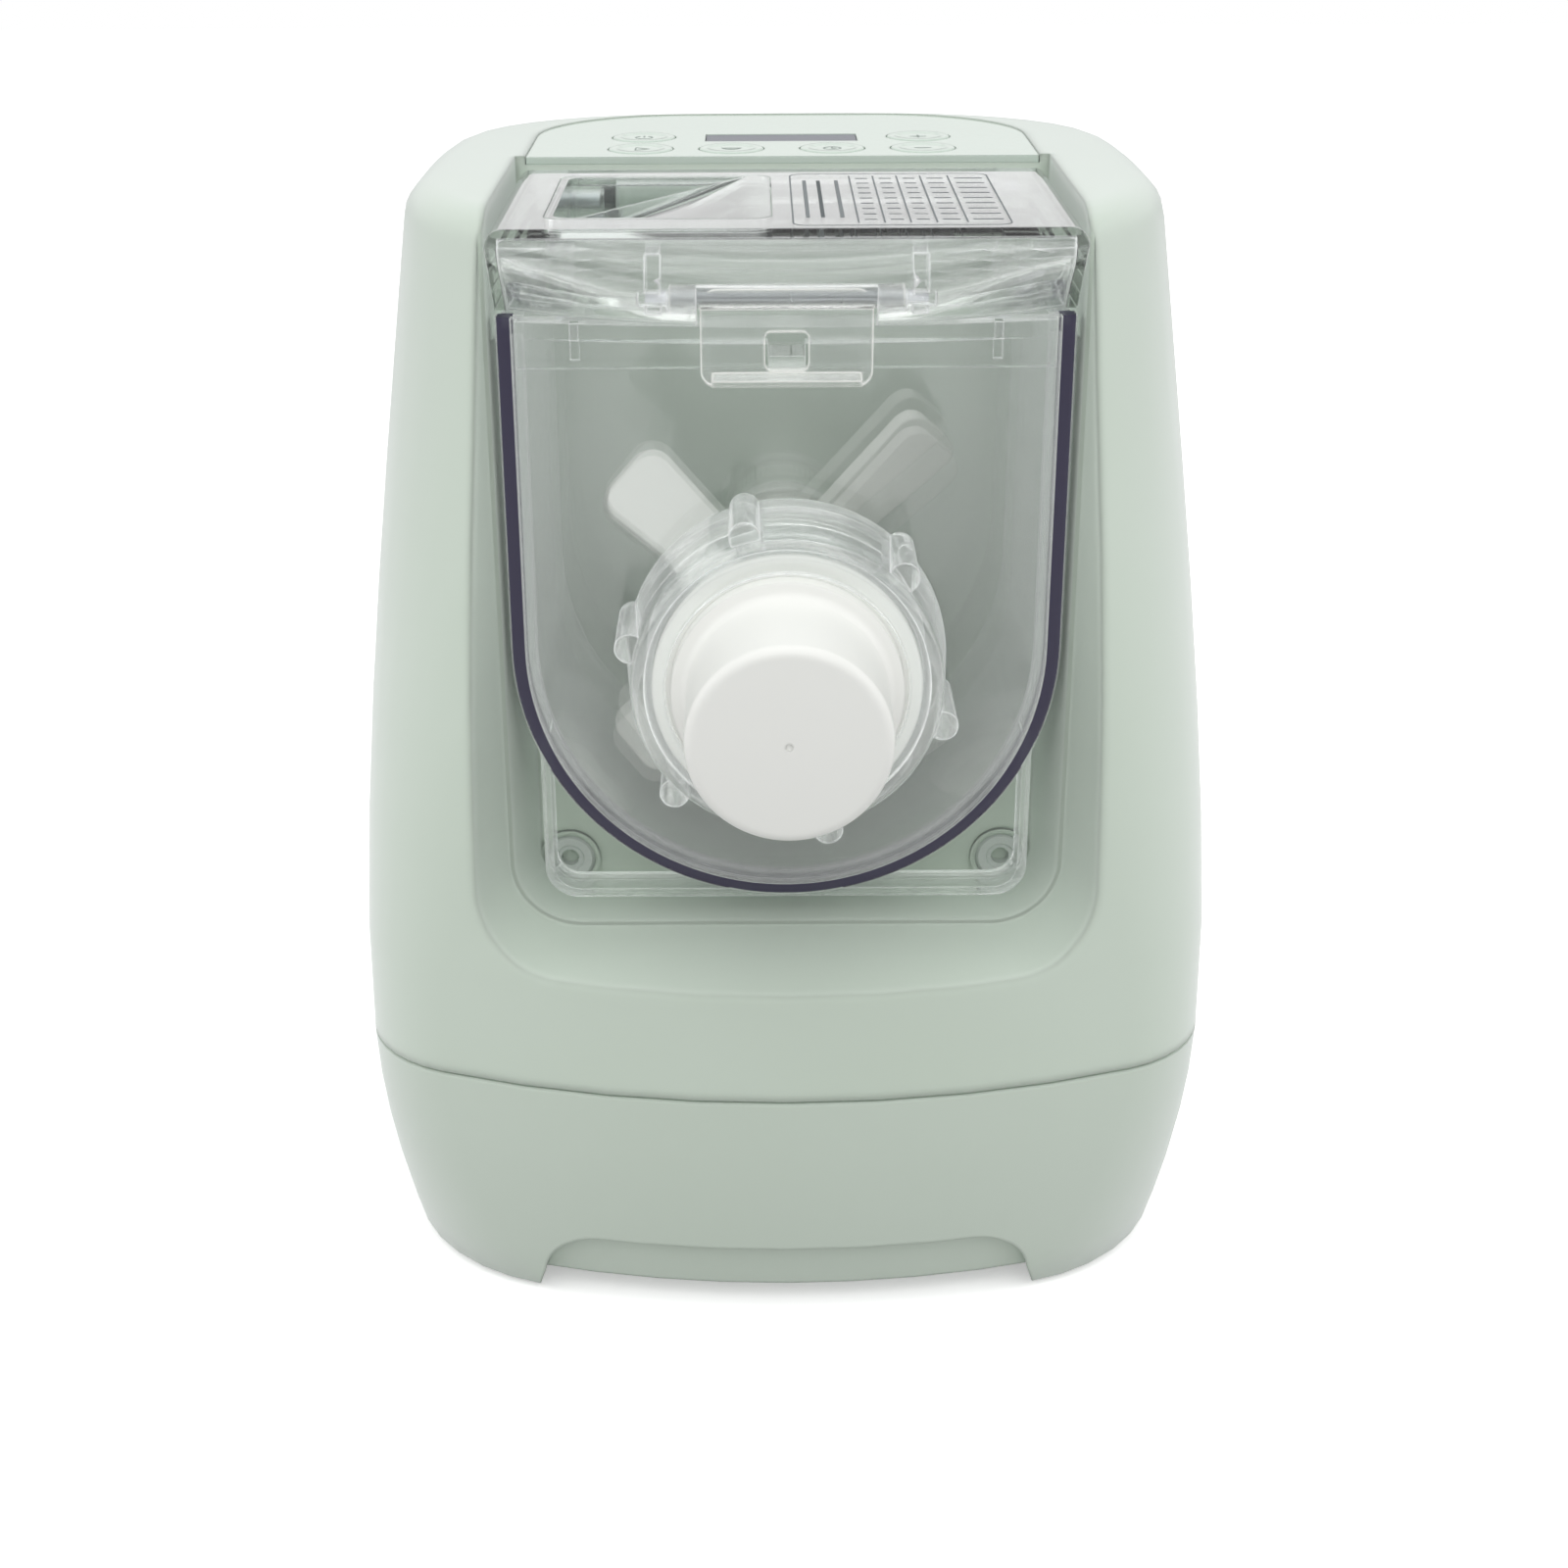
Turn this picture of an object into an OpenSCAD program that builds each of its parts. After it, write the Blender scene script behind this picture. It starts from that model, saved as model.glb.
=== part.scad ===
// Electric pasta maker: a moulded housing with a pull-out mixing bowl, a hinged
// lid, a front plate with a screwed-on noodle die, and a geared drive behind it.
// +Z is up, +X is to the right, and the nozzle points along -Y.
// The origin lies on the table, under the middle of the part's outline.

/* [Housing] */
// Widest width of the housing
body_w = 213; // [206:1:222]
// Front of the housing at the seam, on the centre line
front_y = -87.5; // [-92:0.5:-86]
// Rear of the housing
rear_y = 115; // [113:0.5:122]
// Height of the housing
body_h = 273; // [272.5:0.5:278]
// Height of the seam between base and upper shell
seam_z = 68; // [64:1:72]
// Wall of the moulded shells
wall = 2.8; // [2.4:0.1:3]
// Gap that shows at the seam
seam_gap = 0.7; // [0.5:0.1:1]
// Rounding of the top edge at the front
edge_r_front = 8; // [6:0.5:9]
// Rounding of the top edge at the sides
edge_r_side = 10; // [9:0.5:14]
// Rounding of the top edge at the rear
edge_r_rear = 20; // [16:0.5:22]
// Height of the arch between the front feet
arch_h = 21.5; // [18:0.5:23]
// Width of that arch at the table
arch_w = 128; // [120:1:132]

/* [Bay] */
// Plane of the bowl's mouth
mouth_y = -58; // [-59:0.5:-57.5]
// Drop from the bowl's top edge to the axis of bowl, auger and nozzle
axis_drop = 77; // [76:0.5:78]
// Depth of the bay behind the bowl's mouth
bay_d = 78; // [77.5:0.5:79]
// Clearance between the bowl and the bay
bay_gap = 1; // [0.8:0.1:1.4]
// Wall of the bay
bay_wall = 2.5; // [2:0.1:2.6]
// Gap between the bowl's foot and the floor of the recess
foot_gap = 6.6; // [5.5:0.1:7.5]
// Gap between the bowl's rim and the side of the recess
recess_gap = 1.9; // [1.5:0.1:2.4]
// Depth of the step that the catches sit in
step_d = 17; // [16:0.5:18]

/* [Bowl] */
// Outer radius of the bowl
bowl_r = 60; // [59.5:0.25:60.5]
// Wall of the bowl
bowl_wall = 2.5; // [2:0.1:3]
// How far the rim at the mouth stands out
rim_t = 3.6; // [3.3:0.1:3.8]

/* [Lid] */
// Drop from the housing's top to the lid's top face
lid_drop = 2.2; // [1.5:0.1:2.5]
// Height of the lid's top face above the bowl's top edge
lid_h = 20.8; // [20.3:0.1:21.8]
// How far the lid reaches past the bowl at each side
lid_out = 4; // [3.6:0.1:4.3]
// Thickness of the lid's top
lid_t = 2.4; // [2:0.1:3]
// Radius of the hinge barrel
barrel_r = 7; // [6.5:0.25:7]
// Radius of the hinge pins
hinge_pin_r = 2; // [1.5:0.1:2.5]
// Width of the latch tab
latch_w = 37; // [34:1:40]

/* [Front plate and nozzle] */
// Thickness of the front plate
plate_t = 3; // [2.5:0.1:3.2]
// Bore of the spigot that the auger pushes the dough through
spigot_bore_r = 26.5; // [26:0.1:27]
// Wall of the spigot with its thread
spigot_wall = 5.1; // [4.6:0.1:5.5]
// Pitch of that thread
thread_pitch = 4; // [3.5:0.5:4.5]
// Length of the spigot in front of the mouth
spigot_len = 22; // [20:0.5:23]
// Wall of the lock nut outside the thread
nut_wall = 5; // [4.6:0.1:5.6]
// Length of the lock nut's lip
nut_lip_t = 2.3; // [2:0.1:2.6]
// Lugs on the lock nut
nut_lugs = 6; // [4:1:8]
// How far the die's flange stays inside the thread
die_inset = 1.6; // [1.5:0.1:2.4]
// Radius of the step between the die's flange and its cup
die_step_r = 25.8; // [25:0.1:26]
// Radius of the die's cup
die_r = 22.2; // [22:0.1:23]
// Length of the die in front of its flange
die_len = 34.4; // [31:0.2:36]
// Wall of the die
die_wall = 3; // [2.6:0.1:3.6]
// Bore of a noodle hole
noodle_d = 2.2; // [1.8:0.1:2.4]

/* [Auger and drive] */
// Gap between the kneading paddles and the bowl's wall
paddle_gap = 3.5; // [2.5:0.5:7]
// Radius of the auger's shaft
auger_shaft_r = 8; // [7.5:0.1:9]
// Radius of the auger's bearing journal
journal_r = 12; // [11.5:0.1:12.5]
// Gap between the screw flight and the spigot
flight_gap = 1; // [0.8:0.1:1.6]
// Width across the flats of the drive shaft's hexagon
hex_af = 10; // [9:0.5:10.5]
// Radius of the drive shaft in its bearings
shaft_r = 6; // [5.8:0.1:6.5]
// Running clearance of shafts in their bores
run_gap = 0.06; // [0.04:0.01:0.08]
// Module of the output gear pair
m_out = 1.5; // [1.45:0.05:1.5]
// Module of the middle gear pair
m_mid = 1.25; // [1.2:0.05:1.25]
// Module of the motor gear pair
m_mot = 1; // [0.95:0.05:1]
// Radius of the motor's can
motor_r = 34; // [30:0.5:35]
// Gap between the motor's can and the housing's rear
motor_rear_gap = 14; // [13.5:0.5:18]

/* [Controls] */
// Half width of the control panel
panel_half_w = 62.4; // [60:0.2:63]
// Rear edge of the control panel
panel_rear_y = 87.5; // [86:0.5:89]
// Thickness of the panel's rim
panel_t = 1.8; // [1.6:0.1:1.8]
// Diameter of a key
key_d = 16; // [15:0.25:16.5]
// Travel of a key
key_travel = 0.8; // [0.6:0.1:1]
// Length of the display's window
display_w = 38.5; // [37:0.5:41]
// Depth of the display's window
display_d = 12; // [11:0.5:13]

/* [Hidden] */
$fn = 64;
tiny = 0.01;

// Heights that hang from the housing's top
lid_top_z = body_h - lid_drop;
bowl_top_z = lid_top_z - lid_h;
axis_z = bowl_top_z - axis_drop;
rim_r = bowl_r + rim_t;
foot_low_z = axis_z - rim_r - 0.8;
recess_z = foot_low_z - foot_gap;
// A height above the whole housing, for cuts that are open upwards
above_z = body_h + 27;

// Sizes that follow from a neighbour and a clearance
recess_w = 2 * (rim_r + recess_gap);
lid_w = 2 * (bowl_r + lid_out);
thread_r = spigot_bore_r + spigot_wall;
nut_r = thread_r + nut_wall;
die_flange_r = thread_r - die_inset;
paddle_r = bowl_r - bowl_wall - paddle_gap;
flight_r = spigot_bore_r - flight_gap;

// Colours
mint = [0.79, 0.85, 0.81];
mint_light = [0.88, 0.94, 0.90];
smoke = [0.36, 0.34, 0.45, 0.55];
clear = [0.90, 0.96, 0.94, 0.35];
white = [0.94, 0.94, 0.92];
grey = [0.55, 0.58, 0.57];
dark = [0.16, 0.17, 0.18];
steel = [0.72, 0.73, 0.75];
brass = [0.80, 0.65, 0.35];
board_green = [0.10, 0.36, 0.22];
pom = [0.93, 0.91, 0.84];

// ---- Helpers ----

function mix(a, b, t) = a + (b - a) * t;
function smooth(t) = let(u = max(0, min(1, t))) u * u * (3 - 2 * u);
function arc(c, r, a0, a1, n) =
    [for (i = [0:n]) let(a = mix(a0, a1, i / n)) [c[0] + r * cos(a), c[1] + r * sin(a)]];

// Extrudes a shape drawn in X and Z from y0 to y1
module along_y(y0, y1) {
    translate([0, y1, 0])
        rotate([90, 0, 0])
            linear_extrude(height = y1 - y0)
                children();
}

// Cylinder along Y
module cyl_y(r, y0, y1, x = 0, z = 0) {
    translate([x, y1, z])
        rotate([90, 0, 0])
            cylinder(r = r, h = y1 - y0);
}

// Extrudes a shape drawn in Y and Z from x0 to x1
module along_x(x0, x1) {
    translate([x0, 0, 0])
        rotate([90, 0, 90])
            linear_extrude(height = x1 - x0)
                children();
}

// Rectangle with round corners
module round_rect(x0, z0, x1, z1, r) {
    translate([x0 + r, z0])
        square([x1 - x0 - 2 * r, z1 - z0]);
    translate([x0, z0 + r])
        square([x1 - x0, z1 - z0 - 2 * r]);
    for (x = [x0 + r, x1 - r], z = [z0 + r, z1 - r])
        translate([x, z])
            circle(r = r);
}

// U shape: a half round below the axis and straight sides up to z_top
module u_shape(r, z_top) {
    translate([0, axis_z])
        circle(r = r);
    translate([-r, axis_z])
        square([2 * r, z_top - axis_z]);
}

// Open-topped recess outline with round lower corners
module tub_shape(half_w, z0, z_top, r) {
    for (s = [-1, 1])
        translate([s * (half_w - r), z0 + r])
            circle(r = r);
    translate([-half_w, z0 + r])
        square([2 * half_w, z_top - z0 - r]);
    translate([-half_w + r, z0])
        square([2 * (half_w - r), r]);
}

// ---- Housing outline ----
// Every level of the housing is one closed line of five arcs a side: front bow, front
// corner, side, rear corner and rear bow. The arcs' sizes follow smooth rules in z.

front_bow_r = 240;
side_bow_r = 700;
rear_bow_r = 460;
wide_y = mix(front_y, rear_y, 0.48);
taper_z = 90;
taper_len = body_h - taper_z - 46;
arc_steps = [4, 7, 5, 7, 4];
half_n = arc_steps[0] + arc_steps[1] + arc_steps[2] + arc_steps[3] + arc_steps[4];
ring_n = 2 * half_n;
draft_a = 7;

function half_w(z) = z < seam_z
    ? body_w / 2 - 6.5 * pow(1 - z / seam_z, 1.7)
    : body_w / 2 - 12.6 * pow(max(0, z - taper_z) / taper_len, 1.35);
function level_front(z) = z < seam_z
    ? front_y + 12.5 * pow(1 - z / seam_z, 1.5)
    : front_y + 11 * pow((z - seam_z) / (body_h - seam_z), 1.3);
function level_rear(z) = z < seam_z
    ? rear_y - 9 * pow(1 - z / seam_z, 1.6)
    : rear_y - 8 * pow((z - seam_z) / (body_h - seam_z), 1.6);
function corner_front(z) = z < seam_z
    ? mix(31, 50, pow(1 - z / seam_z, 1.5))
    : mix(31, 67, smooth((z - seam_z) / (body_h - seam_z - 13)));
function corner_rear(z) = mix(55, 57, smooth((z - seam_z + 8) / (body_h - seam_z - 5)));

// Centre of the arc that blends circle A (radius ra left) into circle B (radius rb left)
function blend_centre(A, ra, B, rb, side) =
    let(d = norm(B - A), u = (B - A) / d, a = (ra * ra - rb * rb + d * d) / (2 * d),
        h = sqrt(ra * ra - a * a))
    A + a * u + side * h * [-u[1], u[0]];
function heading(v) = atan2(v[1], v[0]);
// Points of an arc with the direction of its outward normal
function arc_n(c, r, a0, a1, n) =
    [for (i = [1:n]) let(a = mix(a0, a1, i / n)) [c[0] + r * cos(a), c[1] + r * sin(a), a]];

// Right half of the outline at height z, moved inwards by inset
function half_outline(z, inset = 0) =
    let(
        A = [0, level_front(z) + front_bow_r],
        S = [half_w(z) - side_bow_r, wide_y],
        B = [0, level_rear(z) - rear_bow_r],
        cf = corner_front(z),
        cr = corner_rear(z),
        C = blend_centre(A, front_bow_r - cf, S, side_bow_r - cf, 1),
        D = blend_centre(S, side_bow_r - cr, B, rear_bow_r - cr, 1)
    )
    concat(
        [[0, level_front(z) + inset, -90]],
        arc_n(A, front_bow_r - inset, -90, heading(C - A), arc_steps[0]),
        arc_n(C, cf - inset, heading(C - A), heading(C - S), arc_steps[1]),
        arc_n(S, side_bow_r - inset, heading(C - S), heading(D - S), arc_steps[2]),
        arc_n(D, cr - inset, heading(D - S), heading(D - B), arc_steps[3]),
        arc_n(B, rear_bow_r - inset, heading(D - B), 90, arc_steps[4])
    );
// Whole ring from its right half
function mirror_ring(h) =
    concat(h, [for (i = [half_n - 1:-1:1]) [-h[i][0], h[i][1], h[i][2]]]);
function level_ring(z, inset = 0) =
    mirror_ring([for (p = half_outline(z, inset)) [p[0], p[1], z]]);

// Radius of the top edge at point i of the half outline
function edge_r(i) =
    let(corner = (i - arc_steps[0] - 1) / (arc_steps[1] + 2),
        back = (i - arc_steps[0] - arc_steps[1] - 3) / 8)
    mix(edge_r_front, edge_r_side, smooth(corner))
        + (edge_r_rear - edge_r_side) * smooth(back);
// Height at which the top edge's rounding starts
function edge_z(i) = body_h - edge_r(i) * (1 - sin(draft_a));

// Ring a share t of the way up the wall, from the seam to where the rounding starts
function wall_ring(t, inset) =
    mirror_ring([for (i = [0:half_n])
        let(z = mix(seam_z + seam_gap, edge_z(i), t), p = half_outline(z, inset)[i])
        [p[0], p[1], z]]);
// Ring at angle a of the top rounding
function edge_ring(a, inset) =
    mirror_ring([for (i = [0:half_n])
        let(
            z0 = edge_z(i),
            p = half_outline(z0, inset)[i],
            r = edge_r(i) - inset,
            d = r * (cos(draft_a) - cos(a))
        )
        [p[0] - d * cos(p[2]), p[1] - d * sin(p[2]), z0 + r * (sin(a) - sin(draft_a))]]);

// Closed solid through rings of equal length
module loft(rings) {
    n = len(rings[0]);
    k = len(rings);
    points = [for (r = rings) each r];
    sides = [for (j = [0:k - 2], i = [0:n - 1])
        let(a = j * n + i, b = j * n + (i + 1) % n)
        each [[a, a + n, b + n], [a, b + n, b]]];
    caps = [[for (i = [0:n - 1]) i], [for (i = [n - 1:-1:0]) (k - 1) * n + i]];
    polyhedron(points, concat(sides, caps), convexity = 4);
}

wall_steps = 7;
edge_steps = 6;
edge_angles = [for (k = [1:edge_steps]) mix(draft_a, 90, k / edge_steps)];

module upper_solid() {
    loft(concat(
        [level_ring(seam_z, wall / 2), level_ring(seam_z + seam_gap, wall / 2)],
        [for (j = [0:wall_steps]) wall_ring(j / wall_steps, 0)],
        [for (a = edge_angles) edge_ring(a, 0)]
    ));
}
module upper_hollow() {
    steps = 4;
    loft(concat(
        [level_ring(seam_z - 1, wall)],
        [for (j = [0:steps]) wall_ring(j / steps, wall)],
        [for (k = [1:3]) edge_ring(mix(draft_a, 90, k / 3), wall)]
    ));
}

// ---- Bay that holds the bowl ----

bay_back_y = mouth_y + bay_d;
bay_r = bowl_r + bay_gap;
step_y = mouth_y + step_d;
well_half_w = lid_w / 2 + 1;
well_z = bowl_top_z - 6;
well_rear_y = bay_back_y - 4;
// Above this height the bay's rear wall stands further forward
bay_high_z = bowl_top_z + 2;
funnel_y = front_y - 17.5;
funnel_draft_x = 0.4;
funnel_draft_z = 0.15;
// Width of the narrow ledge where the flare ends
ledge = 0.9;
catch_x = bowl_r - 6.6;
catch_z = recess_z + 9.5;
catch_r = 6.2;

// The flared mouth: a recess that opens forward, grown by g
module funnel(g) {
    reach = mouth_y - funnel_y;
    half = recess_w / 2 + ledge + g;
    hull() {
        along_y(mouth_y - tiny, mouth_y)
            tub_shape(half, recess_z - ledge - g, above_z, 17 + g);
        along_y(funnel_y, funnel_y + tiny)
            tub_shape(half + funnel_draft_x * reach,
                recess_z - ledge - funnel_draft_z * reach - g, above_z, 26 + g);
    }
}
// The step behind the mouth, grown by g
module step_recess(g) {
    hull() {
        along_y(mouth_y - 2 * tiny, mouth_y)
            tub_shape(recess_w / 2 + g, recess_z - g, above_z, 16 + g);
        along_y(step_y, step_y + g + tiny)
            tub_shape(bowl_r + 0.4 + g, recess_z + 2 - g, above_z, 11 + g);
    }
}
module bay_cut() {
    funnel(0);
    step_recess(0);
    along_y(mouth_y, bay_back_y)
        u_shape(bay_r, bay_high_z);
    along_y(mouth_y, well_rear_y)
        u_shape(bay_r, above_z);
    along_y(mouth_y, well_rear_y)
        translate([-well_half_w, well_z])
            square([2 * well_half_w, above_z - well_z]);
}
module bay_block() {
    funnel(bay_wall);
    step_recess(bay_wall);
    along_y(mouth_y, bay_back_y + bay_wall)
        u_shape(bay_r + bay_wall, bay_high_z + bay_wall);
    along_y(mouth_y, well_rear_y + bay_wall)
        translate([-well_half_w - bay_wall, well_z - bay_wall])
            square([2 * (well_half_w + bay_wall), above_z - well_z]);
}

// ---- Screw columns that tie base and upper shell ----

column_r = 5;
// Four places that mirror across the middle plane
function four_at(x, y_front, y_rear) = [[x, y_front], [x, y_rear], [-x, y_rear], [-x, y_front]];
column_at = four_at(body_w / 2 - 22.5, front_y + 59.5, rear_y - 55);
// Columns from z0 to z1, with a rib from rib_z upwards to the side wall
module columns(z0, z1, rib_z) {
    for (p = column_at) {
        translate([p[0], p[1], z0])
            cylinder(r = column_r, h = z1 - z0);
        translate([p[0] > 0 ? p[0] : -body_w / 2, p[1] - 1, rib_z])
            cube([body_w / 2 - abs(p[0]), 2, z1 - rib_z]);
    }
}
screw_r = 1.75;
screw_seat_z = seam_z - 22;
screw_top_z = seam_z + 20;

// ---- Gear train ----
// Pairs mesh on straight centre lines that zigzag down from the output to the motor.

z_out = 45;
z_pin_out = 13;
z_mid = 40;
z_pin_mid = 12;
z_mot = 42;
z_pin_mot = 12;
function centre_d(m, a, b) = m * (a + b) / 2;
out_c = [0, axis_z];
lean_upper = 26;
lean_lower = -27;
lean_motor = -8.5;
upper_c = out_c + centre_d(m_out, z_out, z_pin_out) * [sin(lean_upper), -cos(lean_upper)];
lower_c = upper_c + centre_d(m_mid, z_mid, z_pin_mid) * [sin(lean_lower), -cos(lean_lower)];
motor_c = lower_c + centre_d(m_mot, z_mot, z_pin_mot) * [sin(lean_motor), -cos(lean_motor)];

case_front_y = bay_back_y + bay_wall + 1.5;
case_wall = 3;
// Room between the tip circle of a gear and the case
gear_room = 3;
function tip_r(m, z) = m * z / 2 + 0.95 * m;
case_r_out = tip_r(m_out, z_out) + gear_room;
case_r_upper = tip_r(m_mid, z_mid) + gear_room;
case_r_lower = tip_r(m_mot, z_mot) + gear_room;
case_r_motor = 16;
out_y0 = case_front_y + case_wall + 3;
out_y1 = out_y0 + 10;
mid_y0 = out_y1 + 1.5;
mid_y1 = mid_y0 + 7;
mot_y0 = mid_y1 + 1.5;
mot_y1 = mot_y0 + 5;
case_rear_y = mot_y1 + 1.5;
cover_y = case_rear_y + 3;
bracket_y = cover_y + 2.5;
can_rear_y = rear_y - motor_rear_gap;
motor_len = can_rear_y - bracket_y;
axle_r = 3;

// Involute tooth outline
pressure_a = 25;
backlash = 0.12;
function inv_angle(r, rb) = r <= rb ? 0
    : let(t = sqrt(r * r / (rb * rb) - 1)) t * 180 / PI - atan(t);
// Half angle of a tooth at radius r
function tooth_half(m, z, r) =
    let(rp = m * z / 2, rb = rp * cos(pressure_a))
    90 / z - backlash / rp * 90 / PI + inv_angle(rp, rb) - inv_angle(r, rb);
function gear_points(m, z, turn) =
    let(
        rp = m * z / 2,
        rb = rp * cos(pressure_a),
        ro = tip_r(m, z),
        rr = rp - 1.2 * m,
        rs = max(rb, rr + 0.1),
        flank = [rs, mix(rs, rp, 0.55), mix(rp, ro, 0.35), ro],
        step = 360 / z
    )
    [for (k = [0:z - 1]) let(c = turn + k * step) each concat(
        [let(a = c - tooth_half(m, z, rs) - 0.4) [rr * cos(a), rr * sin(a)]],
        [for (r = flank) let(a = c - tooth_half(m, z, r)) [r * cos(a), r * sin(a)]],
        [for (i = [3:-1:0]) let(r = flank[i], a = c + tooth_half(m, z, r))
            [r * cos(a), r * sin(a)]],
        [let(a = c + tooth_half(m, z, rs) + 0.4) [rr * cos(a), rr * sin(a)]]
    )];
// A toothed disc along Y around centre c, in X and Z
module gear_disc(m, z, turn, c, y0, y1) {
    along_y(y0, y1)
        translate(c)
            polygon(gear_points(m, z, turn));
}
// Direction from one centre to the next
dir_upper = heading(upper_c - out_c);
dir_lower = heading(lower_c - upper_c);
dir_motor = heading(motor_c - lower_c);
// Turn of a pinion with z teeth whose tooth gap faces back along that direction
function mate_turn(dir, z) = dir + 180 + 180 / z;

// ---- Lid hinge and latch ----

hinge_y = bay_back_y - 4.5 - barrel_r;
hinge_z = lid_top_z - barrel_r;
ear_x0 = bowl_r - 8;
ear_x1 = ear_x0 + 4;
ear_r = 4.3;
lid_front_y = mouth_y - 10;
lid_wall = 2.5;
lid_under_z = bowl_top_z + 0.6;
visor_bow_r = 112;
visor_mouth_y = mouth_y - 14;
visor_t = 2.2;
latch_y = mouth_y - 13;
latch_t = 2;
latch_axle_y = mouth_y - 10.8;
latch_axle_z = lid_under_z + 6;
latch_low_z = lid_under_z - 13.1;
latch_pin_r = 1.6;
basin_x0 = 11.5 - lid_w / 2;
basin_x1 = -3;
basin_y0 = mouth_y + 1;
basin_y1 = mouth_y + 58;
basin_deep = 11.5;
// The basin's floor is a ramp that falls to the left from a slanting crest
crest_x = -8;
crest_turn = 162;
basin_ramp = 14;

// ---- Nozzle ----

plate_front_y = mouth_y - 1.7;
plate_rear_y = plate_front_y + plate_t;
spigot_y = mouth_y - spigot_len;
die_flange_t = 3;
die_front_y = spigot_y - die_flange_t - die_len;
nut_gap = 0.2;
nut_foot_y = plate_front_y - 0.6;
nut_lip_y = spigot_y - die_flange_t - nut_gap;
nut_front_y = nut_lip_y - nut_lip_t;
lug_r = 3.4;

// ---- Controls ----

panel_top_z = body_h - 0.3;
panel_front_y = well_rear_y + 0.2;
panel_corner_r = 38;
key_z = panel_top_z + 0.3;
key_row_y = panel_front_y + 12.3;
key_rear_y = key_row_y + 19;
key_out_x = 35;
key_mid_x = 12.5;
key_spots = [[-key_out_x, key_rear_y], [-key_out_x, key_row_y], [-key_mid_x, key_row_y],
    [key_mid_x, key_row_y], [key_out_x, key_row_y], [key_out_x, key_rear_y]];
display_y = key_row_y + 18;
board_z = panel_top_z - 16.7;
board_pillar_at = [[-51, key_row_y + 15.5], [0, key_row_y + 31.5], [51, key_row_y + 15.5]];
interlock_x = -key_out_x - 7.5;
interlock_z = lid_top_z - 7.8;
interlock_top_z = lid_top_z - 4.8;

module upper_shell() {
    color(mint)
        difference() {
            union() {
                difference() {
                    upper_solid();
                    difference() {
                        upper_hollow();
                        bay_block();
                        columns(seam_z, screw_top_z + 3, seam_z);
                        // standoffs that carry the gearbox
                        for (p = case_mount_at)
                            cyl_y(4, bay_back_y, case_front_y, p[0], p[1]);
                    }
                    bay_cut();
                }
                // raised rings round the catches
                for (s = [-1, 1])
                    cyl_y(catch_r + 1.3, step_y - 1.2, step_y + 1, s * catch_x, catch_z);
            }
            // seat and opening of the control panel
            translate([0, 0, panel_top_z - panel_t])
                linear_extrude(height = 10)
                    panel_shape(0.25);
            translate([0, 0, board_z + 6])
                linear_extrude(height = 20)
                    panel_hole(0);
            // shaft opening
            cyl_y(13.2, bay_back_y - 1, bay_back_y + 8, 0, axis_z);
            // slot of the interlock
            translate([interlock_x - 1.9, well_rear_y - 2, interlock_z - 2.8])
                cube([3.8, 8, 5.6]);
            // sockets of the catches
            for (s = [-1, 1])
                cyl_y(catch_r + 0.1, step_y - 2, step_y + 2, s * catch_x, catch_z);
            // pilot holes of the gearbox screws
            for (p = case_mount_at)
                cyl_y(screw_r + 0.05, case_front_y - 2.4, case_front_y + 1, p[0], p[1]);
            // pilot holes of the long screws
            for (p = column_at)
                translate([p[0], p[1], seam_z - 1])
                    cylinder(r = screw_r + 0.05, h = 24);
            // cooling slots in the rear wall
            for (i = [-4:4])
                translate([i * 9 - 2, rear_y - 16, seam_z + 16])
                    cube([4, 30, 34]);
        }
}

// Straight front and a rear with large round corners
module arch_plate(half_w, y0, y1, r) {
    intersection() {
        round_rect(-half_w, y0 - 2 * r, half_w, y1, r);
        translate([-half_w - 1, y0])
            square([2 * half_w + 2, y1 - y0 + 1]);
    }
}
// Outline of the control panel, grown by g
module panel_shape(g) {
    arch_plate(panel_half_w + g, panel_front_y - g, panel_rear_y + g, panel_corner_r + g);
}
// Opening under the panel, made smaller by g
module panel_hole(g) {
    inset = 4 + g;
    arch_plate(panel_half_w - inset, well_rear_y + bay_wall + g, panel_rear_y - inset,
        panel_corner_r - inset);
}

foot_z = 1;

module base_shell() {
    color(mint)
        difference() {
            loft([
                level_ring(foot_z, 1.6),
                level_ring(foot_z + 0.5, 0.6),
                level_ring(foot_z + 1.6, 0),
                level_ring(seam_z * 0.2, 0),
                level_ring(seam_z * 0.4, 0),
                level_ring(seam_z * 0.6, 0),
                level_ring(seam_z * 0.8, 0),
                level_ring(seam_z, 0)
            ]);
            difference() {
                loft([
                    level_ring(-1, wall),
                    level_ring(seam_z * 0.25, wall),
                    level_ring(seam_z * 0.5, wall),
                    level_ring(seam_z * 0.75, wall),
                    level_ring(seam_z + 1, wall)
                ]);
                columns(plate_top_z, seam_z, plate_z + tray_h + 2);
                // boss round the cord gland
                cyl_y(gland_r + 3, rear_at(gland_x, gland_z) - 5, rear_y, gland_x, gland_z);
            }
            // arches between the feet, front and rear
            along_y(front_y - 5, front_y + 34)
                arch_shape();
            along_y(rear_y - 34, rear_y + 5)
                arch_shape();
            // wells of the long screws
            for (p = column_at)
                translate([p[0], p[1], -1])
                    cylinder(r = 3.8, h = screw_seat_z + 1);
            for (p = column_at)
                translate([p[0], p[1], -1])
                    cylinder(r = screw_r + 0.3, h = seam_z + 2);
            // opening and seat of the cord gland
            cyl_y(gland_r, rear_y - 20, rear_y + 5, gland_x, gland_z);
            cyl_y(gland_flange_r + 0.1, rear_at(gland_x, gland_z) - 1.8, rear_y + 5,
                gland_x, gland_z);
        }
}

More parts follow.
